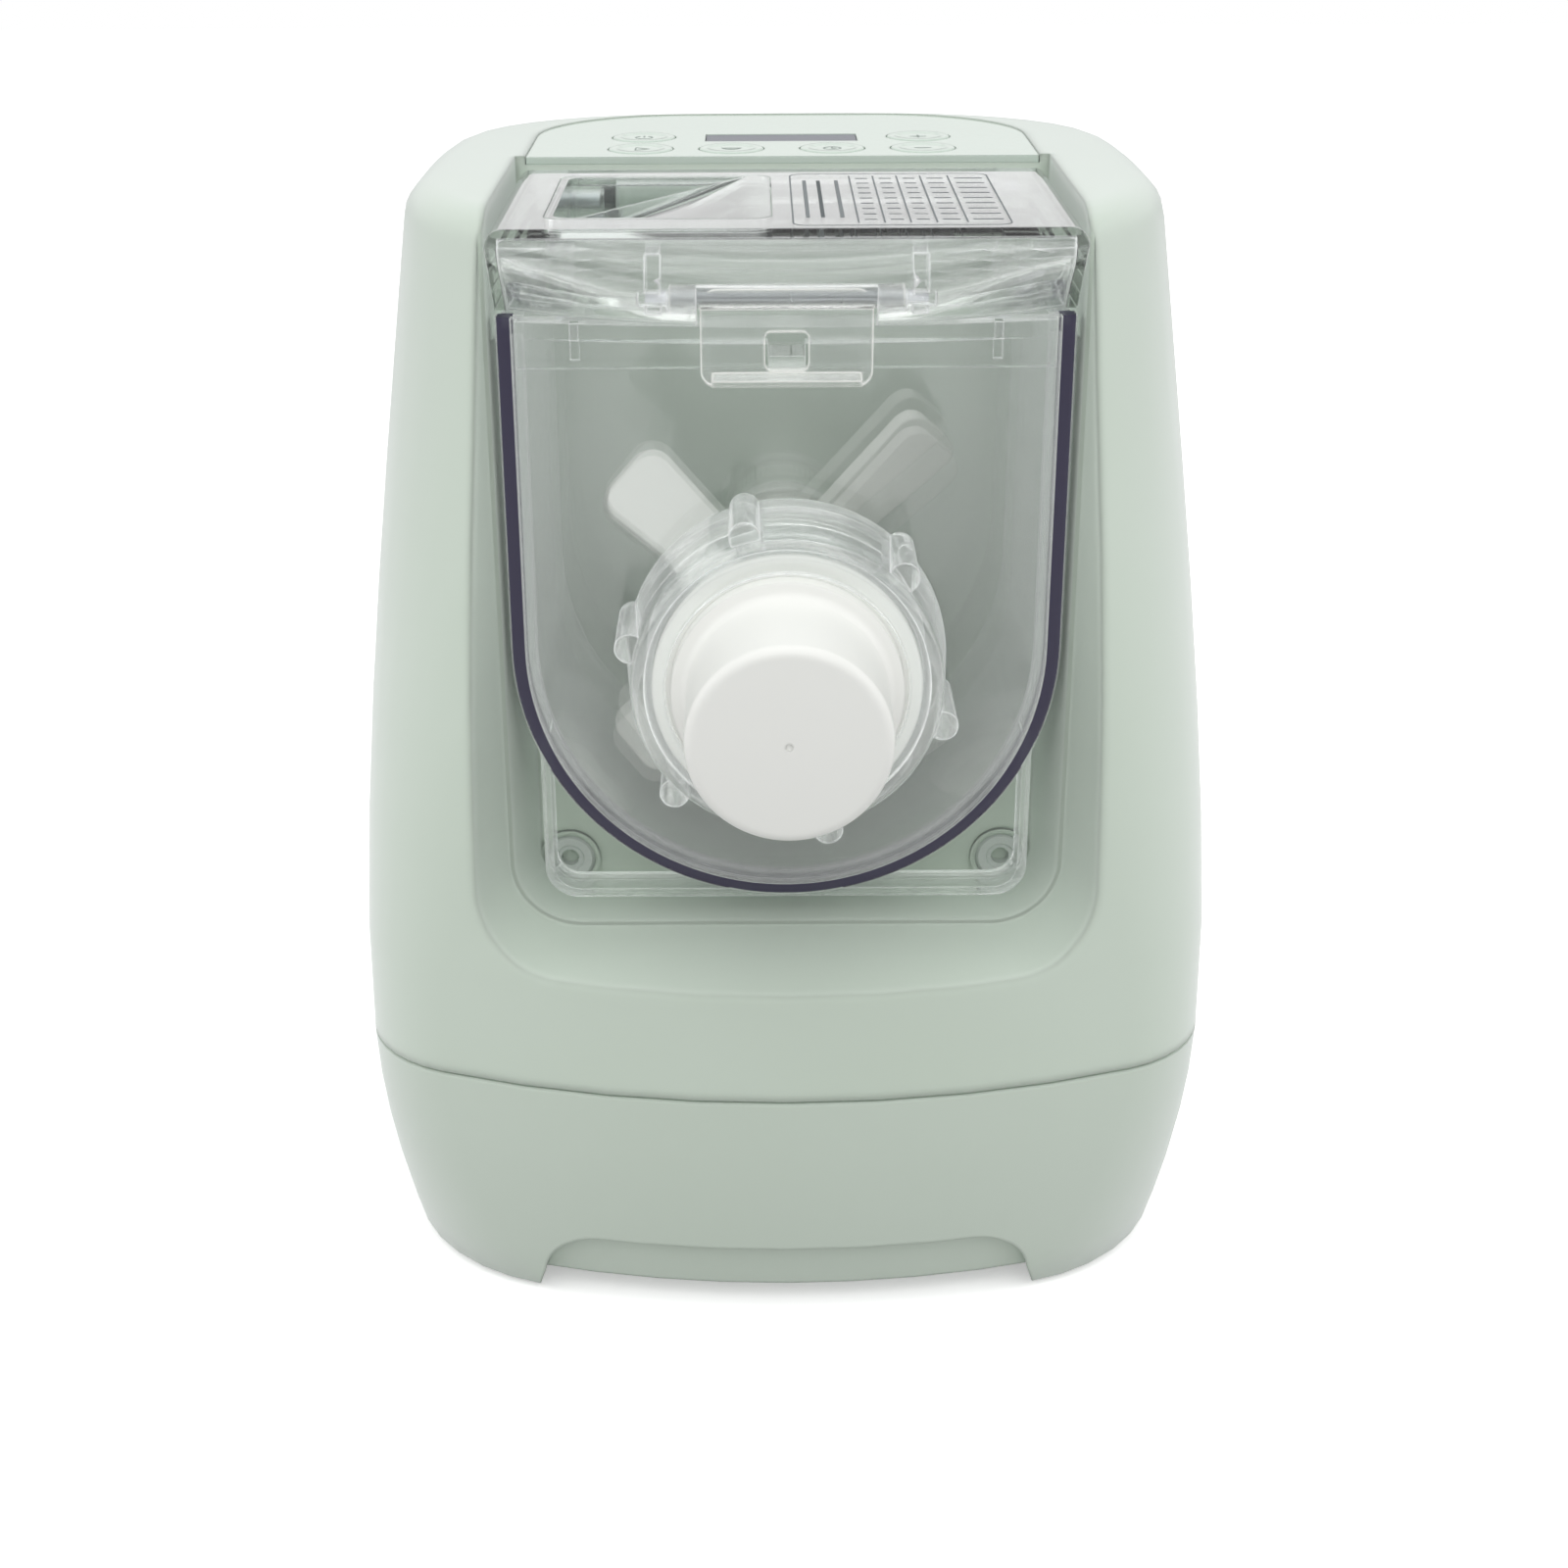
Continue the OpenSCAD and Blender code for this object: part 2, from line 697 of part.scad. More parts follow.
// Arch with a flat top and round shoulders
module arch_shape() {
    shoulder = 15;
    top_half = arch_w / 2 - shoulder - 2.5;
    polygon(concat(
        [[-arch_w / 2 - 0.5, -2], [arch_w / 2 + 0.5, -2]],
        arc([top_half, arch_h - shoulder], shoulder, 6, 90, 8),
        arc([-top_half, arch_h - shoulder], shoulder, 90, 174, 8)
    ));
}

plate_z = 6.5;
plate_top_z = 9.5;
tray_h = arch_h - 2.5;

module base_plate() {
    color(mint)
        difference() {
            union() {
                // tray that closes the bottom, with an upstand behind the arches
                difference() {
                    loft([
                        level_ring(plate_z, wall + 0.5),
                        level_ring(plate_z + tray_h, wall + 0.5)
                    ]);
                    loft([
                        level_ring(plate_top_z, wall + 2.7),
                        level_ring(plate_z + tray_h + 1, wall + 2.7)
                    ]);
                }
                // feet sockets
                for (p = foot_at)
                    translate([p[0], p[1], foot_seat_z])
                        cylinder(r = foot_r + 2, h = plate_top_z - foot_seat_z);
                // pillars of the power board
                for (x = [-36, 36], y = [-50, 2])
                    translate([x, y, plate_z])
                        cylinder(r = 3, h = power_z - plate_z);
            }
            // room for the screw columns
            for (p = column_at)
                translate([p[0], p[1], plate_top_z - tiny])
                    cylinder(r = column_r + 0.3, h = 40);
            for (p = column_at)
                translate([p[0], p[1], 0])
                    cylinder(r = 4, h = 20);
            // seats of the rubber feet
            for (p = foot_at)
                translate([p[0], p[1], foot_seat_z - 1])
                    cylinder(r = foot_r + 0.1, h = 2.6);
            // intake slots under the motor
            for (i = [-5:5])
                translate([i * 8 - 1.75, 34, 0])
                    cube([3.5, 44, 20]);
        }
}

foot_r = 7;
foot_seat_z = 2.5;
foot_at = four_at(body_w / 2 - 36.5, front_y + 43.5, rear_y - 33);

module rubber_feet() {
    color(dark)
        for (p = foot_at)
            translate([p[0], p[1], 0])
                rotate_extrude()
                    polygon([[0, 0], [foot_r - 0.8, 0], [foot_r, 0.8],
                        [foot_r, foot_seat_z + 1.5], [0, foot_seat_z + 1.5]]);
}

module shell_screws() {
    color(steel)
        for (p = column_at)
            translate([p[0], p[1], 0])
                difference() {
                    union() {
                        translate([0, 0, screw_seat_z - 2.6])
                            cylinder(r = 3.5, h = 2.6);
                        translate([0, 0, screw_seat_z - 1])
                            cylinder(r = screw_r, h = screw_top_z - screw_seat_z + 1);
                    }
                    translate([0, 0, screw_seat_z - 3])
                        cylinder(r = 1.6, h = 1.6, $fn = 6);
                }
}

module control_panel() {
    color(mint_light)
        difference() {
            union() {
                translate([0, 0, panel_top_z - panel_t])
                    linear_extrude(height = panel_t)
                        panel_shape(0);
                translate([0, 0, panel_under_z])
                    linear_extrude(height = panel_top_z - panel_under_z - 1)
                        panel_hole(0.3);
                // pillars that carry the control board
                for (p = board_pillar_at)
                    translate([p[0], p[1], board_z + board_t])
                        cylinder(r = 3, h = panel_under_z - board_z - board_t + 0.5);
            }
            for (p = key_spots)
                translate([p[0], p[1], panel_under_z - 1])
                    cylinder(r = key_d / 2 + 0.25, h = 10);
            translate([-display_w / 2, display_y - display_d / 2, panel_under_z - 1])
                cube([display_w, display_d, 10]);
        }
}
panel_under_z = panel_top_z - 3.6;
board_t = 1.6;

module display_window() {
    color(grey)
        translate([-display_w / 2 + 0.15, display_y - display_d / 2 + 0.15, panel_top_z - 1.7])
            cube([display_w - 0.3, display_d - 0.3, 1.5]);
}

module display_module() {
    color(dark) {
        translate([-display_w / 2 + 0.5, display_y - display_d / 2 + 0.5, board_z + board_t])
            cube([display_w - 1, display_d - 1, panel_top_z - 2 - board_z - board_t]);
    }
}

// Circuit board behind the panel, with a switch under each key
module control_board() {
    color(board_green)
        difference() {
            translate([-56, well_rear_y + bay_wall + 1, board_z])
                cube([112, 46, board_t]);
            translate([-60, 0, board_z - 1])
                cube([interlock_x + 65.5, well_rear_y + bay_wall + 10.5, board_t + 2]);
        }
    color(dark)
        for (p = key_spots)
            translate([p[0] - 3, p[1] - 3, board_z + board_t - tiny])
                cube([6, 6, 3.5]);
}

key_foot_z = board_z + board_t + 3.5 + key_travel + 0.15;

// Push key: a cap in the panel, a retaining collar below it and a stem over its switch
module key(i) {
    p = key_spots[i];
    collar_z = panel_under_z - 0.2;
    color(mint_light)
        translate([p[0], p[1], 0])
            rotate_extrude()
                polygon(concat(
                    [[0, key_foot_z], [2, key_foot_z], [2, collar_z - 1.6]],
                    [[key_d / 2 + 1.5, collar_z - 1.6], [key_d / 2 + 1.5, collar_z]],
                    [[key_d / 2, collar_z]],
                    arc([key_d / 2 - 0.6, key_z - 0.6], 0.6, 0, 90, 3),
                    [[key_d / 2 - 2.2, key_z], [key_d / 2 - 2.8, key_z - 0.25], [0, key_z - 0.35]]
                ));
}

power_z = plate_top_z + 6.5;
module power_board() {
    color(board_green)
        translate([-42, -56, power_z])
            cube([84, 64, board_t]);
    color(dark) {
        translate([-34, -44, power_z + board_t - tiny])
            cube([24, 20, 18]);
        translate([-2, -46, power_z + board_t - tiny])
            cube([8, 26, 22]);
        for (y = [-30, -12])
            translate([24, y, power_z + board_t - tiny])
                cylinder(r = 7, h = 20);
        translate([-30, -12, power_z + board_t - tiny])
            cube([40, 12, 10]);
    }
}

// Soft catches that hold the bowl's foot against the step
module bowl_catches() {
    color(grey)
        for (s = [-1, 1])
            translate([s * catch_x, step_y + 1.9, catch_z])
                rotate([90, 0, 0])
                    rotate_extrude()
                        polygon([[2.2, 0], [catch_r, 0], [catch_r, 2.2], [catch_r - 0.8, 3],
                            [3.6, 3], [3.2, 2.4], [2.2, 2.4]]);
}

// Switch that stops the drive while the lid is up
module interlock_switch() {
    color(dark) {
        translate([interlock_x - 8, well_rear_y + bay_wall, bay_high_z + bay_wall + 0.1])
            cube([12.5, 9, interlock_top_z - bay_high_z - bay_wall - 0.1]);
        translate([interlock_x - 1.5, well_rear_y + 0.8, interlock_z - 2.4])
            cube([3, bay_wall, 4.8]);
    }
}

gland_r = 7;
gland_x = body_w / 2 - 48.5;
gland_z = plate_z + tray_h + 10.5;
gland_flange_r = 9.2;

// Bush where the supply lead would pass through the base
module cord_gland() {
    y_out = rear_at(gland_x, gland_z);
    color(dark)
        translate([gland_x, y_out + 0.6, gland_z])
            rotate([90, 0, 0])
                rotate_extrude()
                    polygon([[3.6, -0.2], [gland_flange_r - 1, -0.2], [gland_flange_r, 0.8],
                        [gland_flange_r, 2.4], [gland_r - 0.05, 2.4], [gland_r - 0.05, 12],
                        [3.6, 12]]);
}
// Rear surface of the housing at x and z, on the outline's arcs
function rear_at(x, z) =
    let(h = half_outline(z), k = max([for (i = [half_n - 11:half_n - 1]) h[i][0] >= x ? i : 0]))
    mix(h[k][1], h[k + 1][1], (h[k][0] - x) / (h[k][0] - h[k + 1][0]));

// Distance of the case's screws outside its hollow
lug_out = 5;
function polar_at(c, r, a) = c + r * [cos(a), sin(a)];
// The first three screws also hold the gearbox to the bay
case_mount_at = [for (a = [45, 135, 200]) polar_at(out_c, case_r_out + lug_out, a)];
case_screw_at = concat(case_mount_at, [polar_at(upper_c, case_r_upper + lug_out, -10),
    polar_at(lower_c, case_r_lower + lug_out, 185), polar_at(lower_c, case_r_lower + lug_out, -30),
    polar_at(motor_c, case_r_motor + lug_out, 270)]);

// Outline around the gears, grown by g
module case_shape(g) {
    hull() {
        translate(out_c)
            circle(r = case_r_out + g, $fn = 32);
        translate(upper_c)
            circle(r = case_r_upper + g, $fn = 32);
        translate(lower_c)
            circle(r = case_r_lower + g, $fn = 32);
        translate(motor_c)
            circle(r = case_r_motor + g, $fn = 32);
    }
}

module case_lugs(y0, y1) {
    for (p = case_screw_at)
        cyl_y(5, y0, y1, p[0], p[1]);
}

module gearbox_case() {
    color(dark)
        difference() {
            union() {
                difference() {
                    union() {
                        along_y(case_front_y, case_rear_y)
                            case_shape(case_wall);
                        case_lugs(case_front_y, case_rear_y);
                    }
                    along_y(case_front_y + case_wall, case_rear_y + 1)
                        case_shape(0);
                }
                // bearing and axle bosses
                cyl_y(16, case_front_y + case_wall - 1, out_y0 - 0.5, 0, axis_z);
                for (c = [upper_c, lower_c])
                    cyl_y(6, case_front_y + case_wall - 1, out_y0 - 0.5, c[0], c[1]);
            }
            cyl_y(bearing_r, case_front_y - 1, out_y0 - 1.5, 0, axis_z);
            cyl_y(shaft_r + 2, case_front_y - 1, out_y0 + 1, 0, axis_z);
            for (c = [upper_c, lower_c])
                cyl_y(axle_r, case_front_y + 1.5, out_y0 + 1, c[0], c[1]);
            for (p = case_screw_at)
                cyl_y(screw_r + 0.3, case_front_y - 1, case_rear_y + 1, p[0], p[1]);
        }
}
bearing_r = 12;

module gearbox_cover() {
    color(dark)
        difference() {
            union() {
                along_y(case_rear_y, cover_y)
                    case_shape(case_wall);
                case_lugs(case_rear_y, cover_y);
                cyl_y(14, mot_y0 - 3, case_rear_y + 1, 0, axis_z);
                // motor spigot
                cyl_y(11, cover_y - 1, bracket_y, motor_c[0], motor_c[1]);
            }
            cyl_y(bearing_r - 1, mot_y0 - 4, cover_y - 1.5, 0, axis_z);
            cyl_y(7.5, case_rear_y - 1, bracket_y + 1, motor_c[0], motor_c[1]);
            for (c = [upper_c, lower_c])
                cyl_y(axle_r, case_rear_y - 1, cover_y - 1, c[0], c[1]);
            for (p = case_screw_at)
                cyl_y(screw_r + 0.3, case_rear_y - 1, cover_y + 1, p[0], p[1]);
        }
}

module gearbox_screws() {
    color(steel)
        for (p = case_screw_at)
            difference() {
                union() {
                    cyl_y(3.2, cover_y, cover_y + 2.2, p[0], p[1]);
                    cyl_y(screw_r, case_front_y - 1.2, cover_y + 1, p[0], p[1]);
                }
                translate([p[0], cover_y + 3, p[1]])
                    rotate([90, 0, 0])
                        cylinder(r = 1.5, h = 1.8, $fn = 6);
            }
}

module idler_axles() {
    color(steel)
        for (c = [upper_c, lower_c])
            cyl_y(axle_r, case_front_y + 1.5, cover_y - 1, c[0], c[1]);
}

module output_bearings() {
    color(steel) {
        bearing(case_front_y + 0.6, out_y0 - 1.6, bearing_r);
        bearing(mot_y0 - 3, cover_y - 1.6, bearing_r - 1);
    }
}
// Plain ball bearing drawn closed, with a grooved face
module bearing(y0, y1, r) {
    w = y1 - y0;
    translate([0, y1, axis_z])
        rotate([90, 0, 0])
            rotate_extrude()
                polygon([[shaft_r + run_gap, 0], [shaft_r + 1.6, 0], [shaft_r + 1.9, 0.5],
                    [r - 1.9, 0.5], [r - 1.6, 0], [r, 0], [r, w], [r - 1.6, w],
                    [r - 1.9, w - 0.5], [shaft_r + 1.9, w - 0.5], [shaft_r + 1.6, w],
                    [shaft_r + run_gap, w]]);
}

// Lip seal in the bay's rear wall, round the drive shaft
module shaft_seal() {
    color(dark)
        translate([0, case_front_y, axis_z])
            rotate([90, 0, 0])
                rotate_extrude()
                    polygon([[shaft_r + run_gap, 1], [shaft_r + 1, 0], [13, 0], [13, 3.8],
                        [11.5, 3.8], [11.5, 1.6], [shaft_r + 1.4, 1.6],
                        [shaft_r + run_gap, 2]]);
}

// ---- Motor ----

module motor_bracket() {
    color(steel)
        difference() {
            along_y(cover_y, bracket_y)
                difference() {
                    union() {
                        translate(motor_c)
                            circle(r = motor_r);
                        for (s = [-1, 1])
                            translate(motor_c + [s * 27, -29])
                                circle(r = 6);
                    }
                    translate(motor_c)
                        circle(r = 11.05);
                    for (p = case_screw_at)
                        translate(p)
                            circle(r = 5.5);
                }
        }
}

module motor_can() {
    color(steel)
        translate([motor_c[0], can_rear_y, motor_c[1]])
            rotate([90, 0, 0])
                difference() {
                    rotate_extrude()
                        polygon([[6, 0], [motor_r - 6, 0], [motor_r - 2, 1.2], [motor_r - 0.5, 4],
                            [motor_r, 6], [motor_r, motor_len], [motor_r - 1.6, motor_len],
                            [motor_r - 1.6, 6], [motor_r - 4, 2.4], [6, 1.6]]);
                    // air holes in the end
                    for (k = [0:5])
                        rotate(k * 60 + 30)
                            translate([19, 0, -1])
                                cylinder(r = 5, h = 6);
                }
}

stator_len = motor_len - 15;
stator_y0 = bracket_y + 5;
stator_bore_r = 19;
module motor_stator() {
    color(brass)
        translate([motor_c[0], stator_y0 + stator_len, motor_c[1]])
            rotate([90, 0, 0])
                linear_extrude(height = stator_len)
                    difference() {
                        circle(r = motor_r - 1.7);
                        circle(r = stator_bore_r);
                        for (k = [0:11])
                            rotate(k * 30 + 15)
                                translate([stator_bore_r - 1, -1.2])
                                    square([9, 2.4]);
                    }
}

rotor_r = 18.4;
module rotor_core() {
    color(steel)
        translate([motor_c[0], stator_y0 + stator_len, motor_c[1]])
            rotate([90, 0, 0])
                linear_extrude(height = stator_len)
                    difference() {
                        circle(r = rotor_r);
                        circle(r = motor_shaft_r);
                        for (k = [0:10])
                            rotate(k * 360 / 11)
                                translate([rotor_r - 5, -0.9])
                                    square([8, 1.8]);
                    }
}

motor_shaft_r = 2.5;
module motor_shaft() {
    color(steel)
        cyl_y(motor_shaft_r, mot_y0 - 1, fan_y1 - 1, motor_c[0], motor_c[1]);
}

module motor_pinion() {
    color(brass)
        difference() {
            gear_disc(m_mot, z_pin_mot, mate_turn(dir_motor, z_pin_mot), motor_c,
                mot_y0 - 0.5, mot_y1 + 0.5);
            cyl_y(motor_shaft_r, mot_y0 - 2, mot_y1 + 2, motor_c[0], motor_c[1]);
        }
}

module motor_bearings() {
    color(brass) {
        motor_bush(bracket_y - 2, bracket_y + 3, 7.5);
        motor_bush(can_rear_y - 4, can_rear_y, 6);
    }
}
module motor_bush(y0, y1, r) {
    difference() {
        cyl_y(r, y0, y1, motor_c[0], motor_c[1]);
        cyl_y(motor_shaft_r + run_gap, y0 - 1, y1 + 1, motor_c[0], motor_c[1]);
    }
}

fan_y0 = can_rear_y + 1.2;
fan_y1 = fan_y0 + 5.5;
fan_r = 26;
module cooling_fan() {
    color(white)
        translate([motor_c[0], fan_y1, motor_c[1]])
            rotate([90, 0, 0])
                difference() {
                    union() {
                        cylinder(r = 5, h = 5.5);
                        cylinder(r = fan_r - 4, h = 1.2);
                        for (k = [0:8])
                            rotate(k * 40)
                                linear_extrude(height = 5.5)
                                    polygon(concat(
                                        arc([10, -14], 17, 40, 110, 6),
                                        [for (i = [6:-1:0]) let(a = mix(40, 110, i / 6))
                                            [10 + 15.8 * cos(a), -14 + 15.8 * sin(a)]]
                                    ));
                    }
                    translate([0, 0, -1])
                        cylinder(r = motor_shaft_r, h = 10);
                }
}

// ---- Gears and output shaft ----

shaft_tip_y = bay_back_y - 16;

module output_shaft() {
    color(steel) {
        cyl_y(shaft_r, bay_back_y - 0.5, cover_y - 1.7, 0, axis_z);
        translate([0, bay_back_y, axis_z])
            rotate([90, 0, 0])
                rotate(30)
                    cylinder(r = hex_af / 2 / cos(30), h = bay_back_y - shaft_tip_y, $fn = 6);
    }
}

module output_gear() {
    color(pom)
        difference() {
            union() {
                gear_disc(m_out, z_out, dir_upper, out_c, out_y0, out_y1);
                cyl_y(11, out_y0, out_y1 + 4, 0, axis_z);
            }
            // weight-saving pockets between rim and hub
            for (k = [0:5])
                translate([0, out_y1 + 1, axis_z])
                    rotate([90, k * 60, 0])
                        translate([19.5, 0, 0])
                            cylinder(r = 6, h = 20);
            cyl_y(shaft_r, out_y0 - 1, out_y1 + 5, 0, axis_z);
        }
}

module idler_gear_upper() {
    color(pom)
        difference() {
            union() {
                gear_disc(m_out, z_pin_out, mate_turn(dir_upper, z_pin_out), upper_c,
                    out_y0, mid_y0 + 1);
                gear_disc(m_mid, z_mid, dir_lower, upper_c, mid_y0, mid_y1);
            }
            cyl_y(axle_r + run_gap, out_y0 - 1, mid_y1 + 1, upper_c[0], upper_c[1]);
        }
}

module idler_gear_lower() {
    color(pom)
        difference() {
            union() {
                gear_disc(m_mid, z_pin_mid, mate_turn(dir_lower, z_pin_mid), lower_c,
                    mid_y0, mot_y0 + 1);
                gear_disc(m_mot, z_mot, dir_motor, lower_c, mot_y0, mot_y1);
                cyl_y(5, out_y0, mid_y0 + 1, lower_c[0], lower_c[1]);
            }
            cyl_y(axle_r + run_gap, out_y0 - 1, mot_y1 + 1, lower_c[0], lower_c[1]);
        }
}

// ---- Bowl ----

bowl_rear_y = bay_back_y - bay_gap - 0.5;
shoulder_y = mouth_y + 2.5;
rim_rear_y = mouth_y + 4;
seat_r = bowl_r + 0.4;

module mixing_bowl() {
    color(smoke)
        difference() {
            union() {
                along_y(mouth_y + 1, bowl_rear_y)
                    u_shape(bowl_r, bowl_top_z);
                // rim round the mouth
                along_y(mouth_y, rim_rear_y)
                    u_shape(rim_r, bowl_top_z);
                // flange along the top edge
                translate([-bowl_r - 2.5, mouth_y + 1, bowl_top_z - 3])
                    cube([2 * bowl_r + 5, well_rear_y - mouth_y - 2, 3]);
                // bearing boss for the auger
                cyl_y(journal_r + 6, bowl_rear_y - 9, bowl_rear_y, 0, axis_z);
                // feet that let the bowl stand
                along_y(mouth_y + 0.5, mouth_y + 10)
                    foot_webs();
                hinge_ears();
            }
            difference() {
                along_y(shoulder_y, bowl_rear_y - bowl_wall)
                    u_shape(bowl_r - bowl_wall, bowl_top_z + 5);
                cyl_y(journal_r + 6, bowl_rear_y - 9, bowl_rear_y, 0, axis_z);
                hinge_ears();
            }
            for (s = [-1, 1])
                along_x(s * (ear_x0 + ear_x1) / 2 - 4, s * (ear_x0 + ear_x1) / 2 + 4)
                    translate([hinge_y, hinge_z])
                        circle(r = hinge_pin_r);
            along_y(mouth_y - 1, shoulder_y + tiny)
                u_shape(seat_r, bowl_top_z + 5);
            cyl_y(journal_r + 2, bowl_rear_y - 10, bowl_rear_y + 1, 0, axis_z);
        }
}
module foot_webs() {
    foot_half = rim_r - 5.6;
    web = 2.2;
    difference() {
        round_rect(-foot_half, foot_low_z, foot_half, foot_low_z + 80, 8);
        round_rect(-foot_half + web, foot_low_z + web, foot_half - web, foot_low_z + 90, 6);
        translate([-foot_half - 1, axis_z - 22])
            square([2 * foot_half + 2, 80]);
    }
    translate([-24, foot_low_z])
        square([48, web]);
}
// Ears in the top rear corners of the bowl, on a gusset that ties them to its walls
module hinge_ears() {
    for (s = [-1, 1]) {
        along_x(s > 0 ? ear_x0 : -ear_x1, s > 0 ? ear_x1 : -ear_x0) {
            translate([hinge_y, hinge_z])
                circle(r = ear_r);
            translate([hinge_y - ear_r, bowl_top_z - 6])
                square([2 * ear_r, hinge_z - bowl_top_z + 6]);
        }
        translate([s > 0 ? ear_x0 : -bowl_r + 1, hinge_y - ear_r, bowl_top_z - 6])
            cube([bowl_r - 1 - ear_x0, bowl_rear_y - 1 - hinge_y + ear_r, 6]);
    }
}

// Bush in the bowl's rear wall that carries the auger
module bowl_bush() {
    color(white)
        translate([0, bowl_rear_y + 0.6, axis_z])
            rotate([90, 0, 0])
                rotate_extrude()
                    polygon([[journal_r + run_gap, 0], [journal_r + 3.5, 0],
                        [journal_r + 3.5, 0.6], [journal_r + 2, 0.6], [journal_r + 2, 10],
                        [journal_r + run_gap, 10]]);
}

module hinge_pins() {
    color(steel)
        for (s = [-1, 1])
            translate([s > 0 ? ear_x0 - 8 : -ear_x1, hinge_y, hinge_z])
                rotate([0, 90, 0])
                    cylinder(r = hinge_pin_r, h = ear_x1 - ear_x0 + 8);
}

// ---- Lid ----

module lid_profile(inset) {
    w = lid_w / 2 - inset;
    r = 4 - inset * 0.8;
    top = lid_top_z - (inset > 0 ? lid_t : 0);
    polygon(concat(
        [[-w, lid_under_z - inset * 4], [w, lid_under_z - inset * 4]],
        arc([w - r, top - r], r, 0, 90, 8),
        arc([-w + r, top - r], r, 90, 180, 8)
    ));
}
// Side view of the lid: its front leans back towards the bottom
module lid_side() {
    polygon(concat(
        [[lid_front_y, lid_top_z + 1], [lid_front_y, lid_top_z - 4],
            [mouth_y + 4.5, lid_under_z - 0.01], [hinge_y + 0.5, lid_under_z - 0.01],
            [hinge_y + barrel_r - 0.4, lid_under_z + 2.4]],
        arc([hinge_y, hinge_z], barrel_r - 0.3, 0, 80, 8),
        [[hinge_y - 1, lid_top_z + 1]]
    ));
}
module lid_shell() {
    color(smoke)
        difference() {
            union() {
                difference() {
                    intersection() {
                        along_y(lid_front_y, hinge_y + barrel_r)
                            lid_profile(0);
                        along_x(-lid_w / 2 - 6, lid_w / 2 + 6)
                            lid_side();
                    }
                    along_y(lid_front_y - 5, hinge_y + barrel_r + 1)
                        lid_profile(lid_wall);
                }
                // hinge barrel
                translate([-ear_x0 + 0.4, hinge_y, hinge_z])
                    rotate([0, 90, 0])
                        cylinder(r = barrel_r, h = 2 * ear_x0 - 0.8);
            }
            for (s = [-1, 1])
                translate([s > 0 ? ear_x0 - 9 : -ear_x0 - 1, hinge_y, hinge_z])
                    rotate([0, 90, 0])
                        cylinder(r = hinge_pin_r + run_gap, h = 10);
            // hollow of the barrel between its ends
            translate([-ear_x0 + 12, hinge_y, hinge_z])
                rotate([0, 90, 0])
                    cylinder(r = barrel_r - 2.2, h = 2 * ear_x0 - 24);
            // opening of the pour basin
            translate([0, 0, lid_top_z - 10])
                linear_extrude(height = 20)
                    round_rect(basin_x0, basin_y0, basin_x1, basin_y1, 4.2);
        }
}

// Front wall of the lid: its top edge is straight and its lower edge bows forward
visor_half_w = lid_w / 2 - lid_wall - 0.2;
visor_cols = 12;
visor_rows = 9;
function visor_low_y(x) = visor_mouth_y + visor_bow_r - sqrt(visor_bow_r * visor_bow_r - x * x);
function visor_point(x, t, g) =
    let(
        y_top = lid_front_y + 0.8,
        z_top = lid_top_z - lid_t,
        y_low = visor_low_y(x),
        z_low = lid_under_z + 0.2,
        bulge = 6 * sin(180 * pow(t, 0.8)) * (1 - 0.5 * pow(x / visor_half_w, 2))
    )
    [x, mix(y_top, y_low, smooth(t)) - bulge + g, mix(z_top, z_low, t)];
module lid_visor() {
    color(clear) {
        difference() {
            union() {
                loft([for (c = [0:visor_cols])
                    let(x = mix(-visor_half_w, visor_half_w, c / visor_cols))
                    concat(
                        [for (k = [0:visor_rows]) visor_point(x, k / visor_rows, 0)],
                        [for (k = [visor_rows:-1:0]) visor_point(x, k / visor_rows, visor_t)]
                    )]);
                // bearings of the latch
                for (s = [-1, 1])
                    translate([s * (latch_half + 3.4) - 1.6, latch_axle_y - 2, latch_axle_z - 3.4])
                        cube([3.2, 8, 12]);
            }
            // notch that the latch hangs in
            translate([-latch_w / 2 - 0.6, mouth_y - 40, lid_under_z - 5])
                cube([latch_w + 1.2, 80, latch_axle_z - lid_under_z + 5 + 3]);
            // room for the latch's bar, and the bores of its pins
            along_x(-latch_half - 0.4, latch_half + 0.4)
                translate([latch_axle_y, latch_axle_z])
                    circle(r = latch_bar_r + 0.4);
            for (s = [-1, 1])
                translate([s * (latch_half + 3.4) - 3.2, latch_axle_y, latch_axle_z])
                    rotate([0, 90, 0])
                        cylinder(r = latch_pin_r + run_gap, h = 6.4);
        }
    }
}
latch_half = 25;
latch_bar_r = 2.6;

// Clear tray set into the left of the lid, for pouring water in
module pour_basin() {
    color(clear)
        difference() {
            union() {
                intersection() {
                    basin_prism(0.2, lid_top_z - basin_deep - 2);
                    above_ramp(-2);
                }
                basin_prism(0.2, lid_top_z - lid_t);
            }
            intersection() {
                basin_prism(2, lid_top_z - basin_deep);
                above_ramp(0);
            }
            // drip slots along the low wall
            for (i = [0:4])
                translate([basin_x0 + 4, basin_y1 - 14 - i * 7, lid_top_z - 30])
                    cube([1.6, 4, 40]);
        }
}
// Block of the basin's plan from z_low to the lid's top, made smaller by inset
module basin_prism(inset, z_low) {
    translate([0, 0, z_low])
        linear_extrude(height = lid_top_z - z_low)
            round_rect(basin_x0 + inset, basin_y0 + inset, basin_x1 - inset, basin_y1 - inset, 4);
}
// Everything above the ramp, which is lowered by shift
module above_ramp(shift) {
    translate([crest_x, basin_y1, lid_top_z + shift])
        rotate([0, 0, crest_turn])
            rotate([0, basin_ramp, 0])
                translate([-10, -80, 0])
                    cube([90, 160, 40]);
}

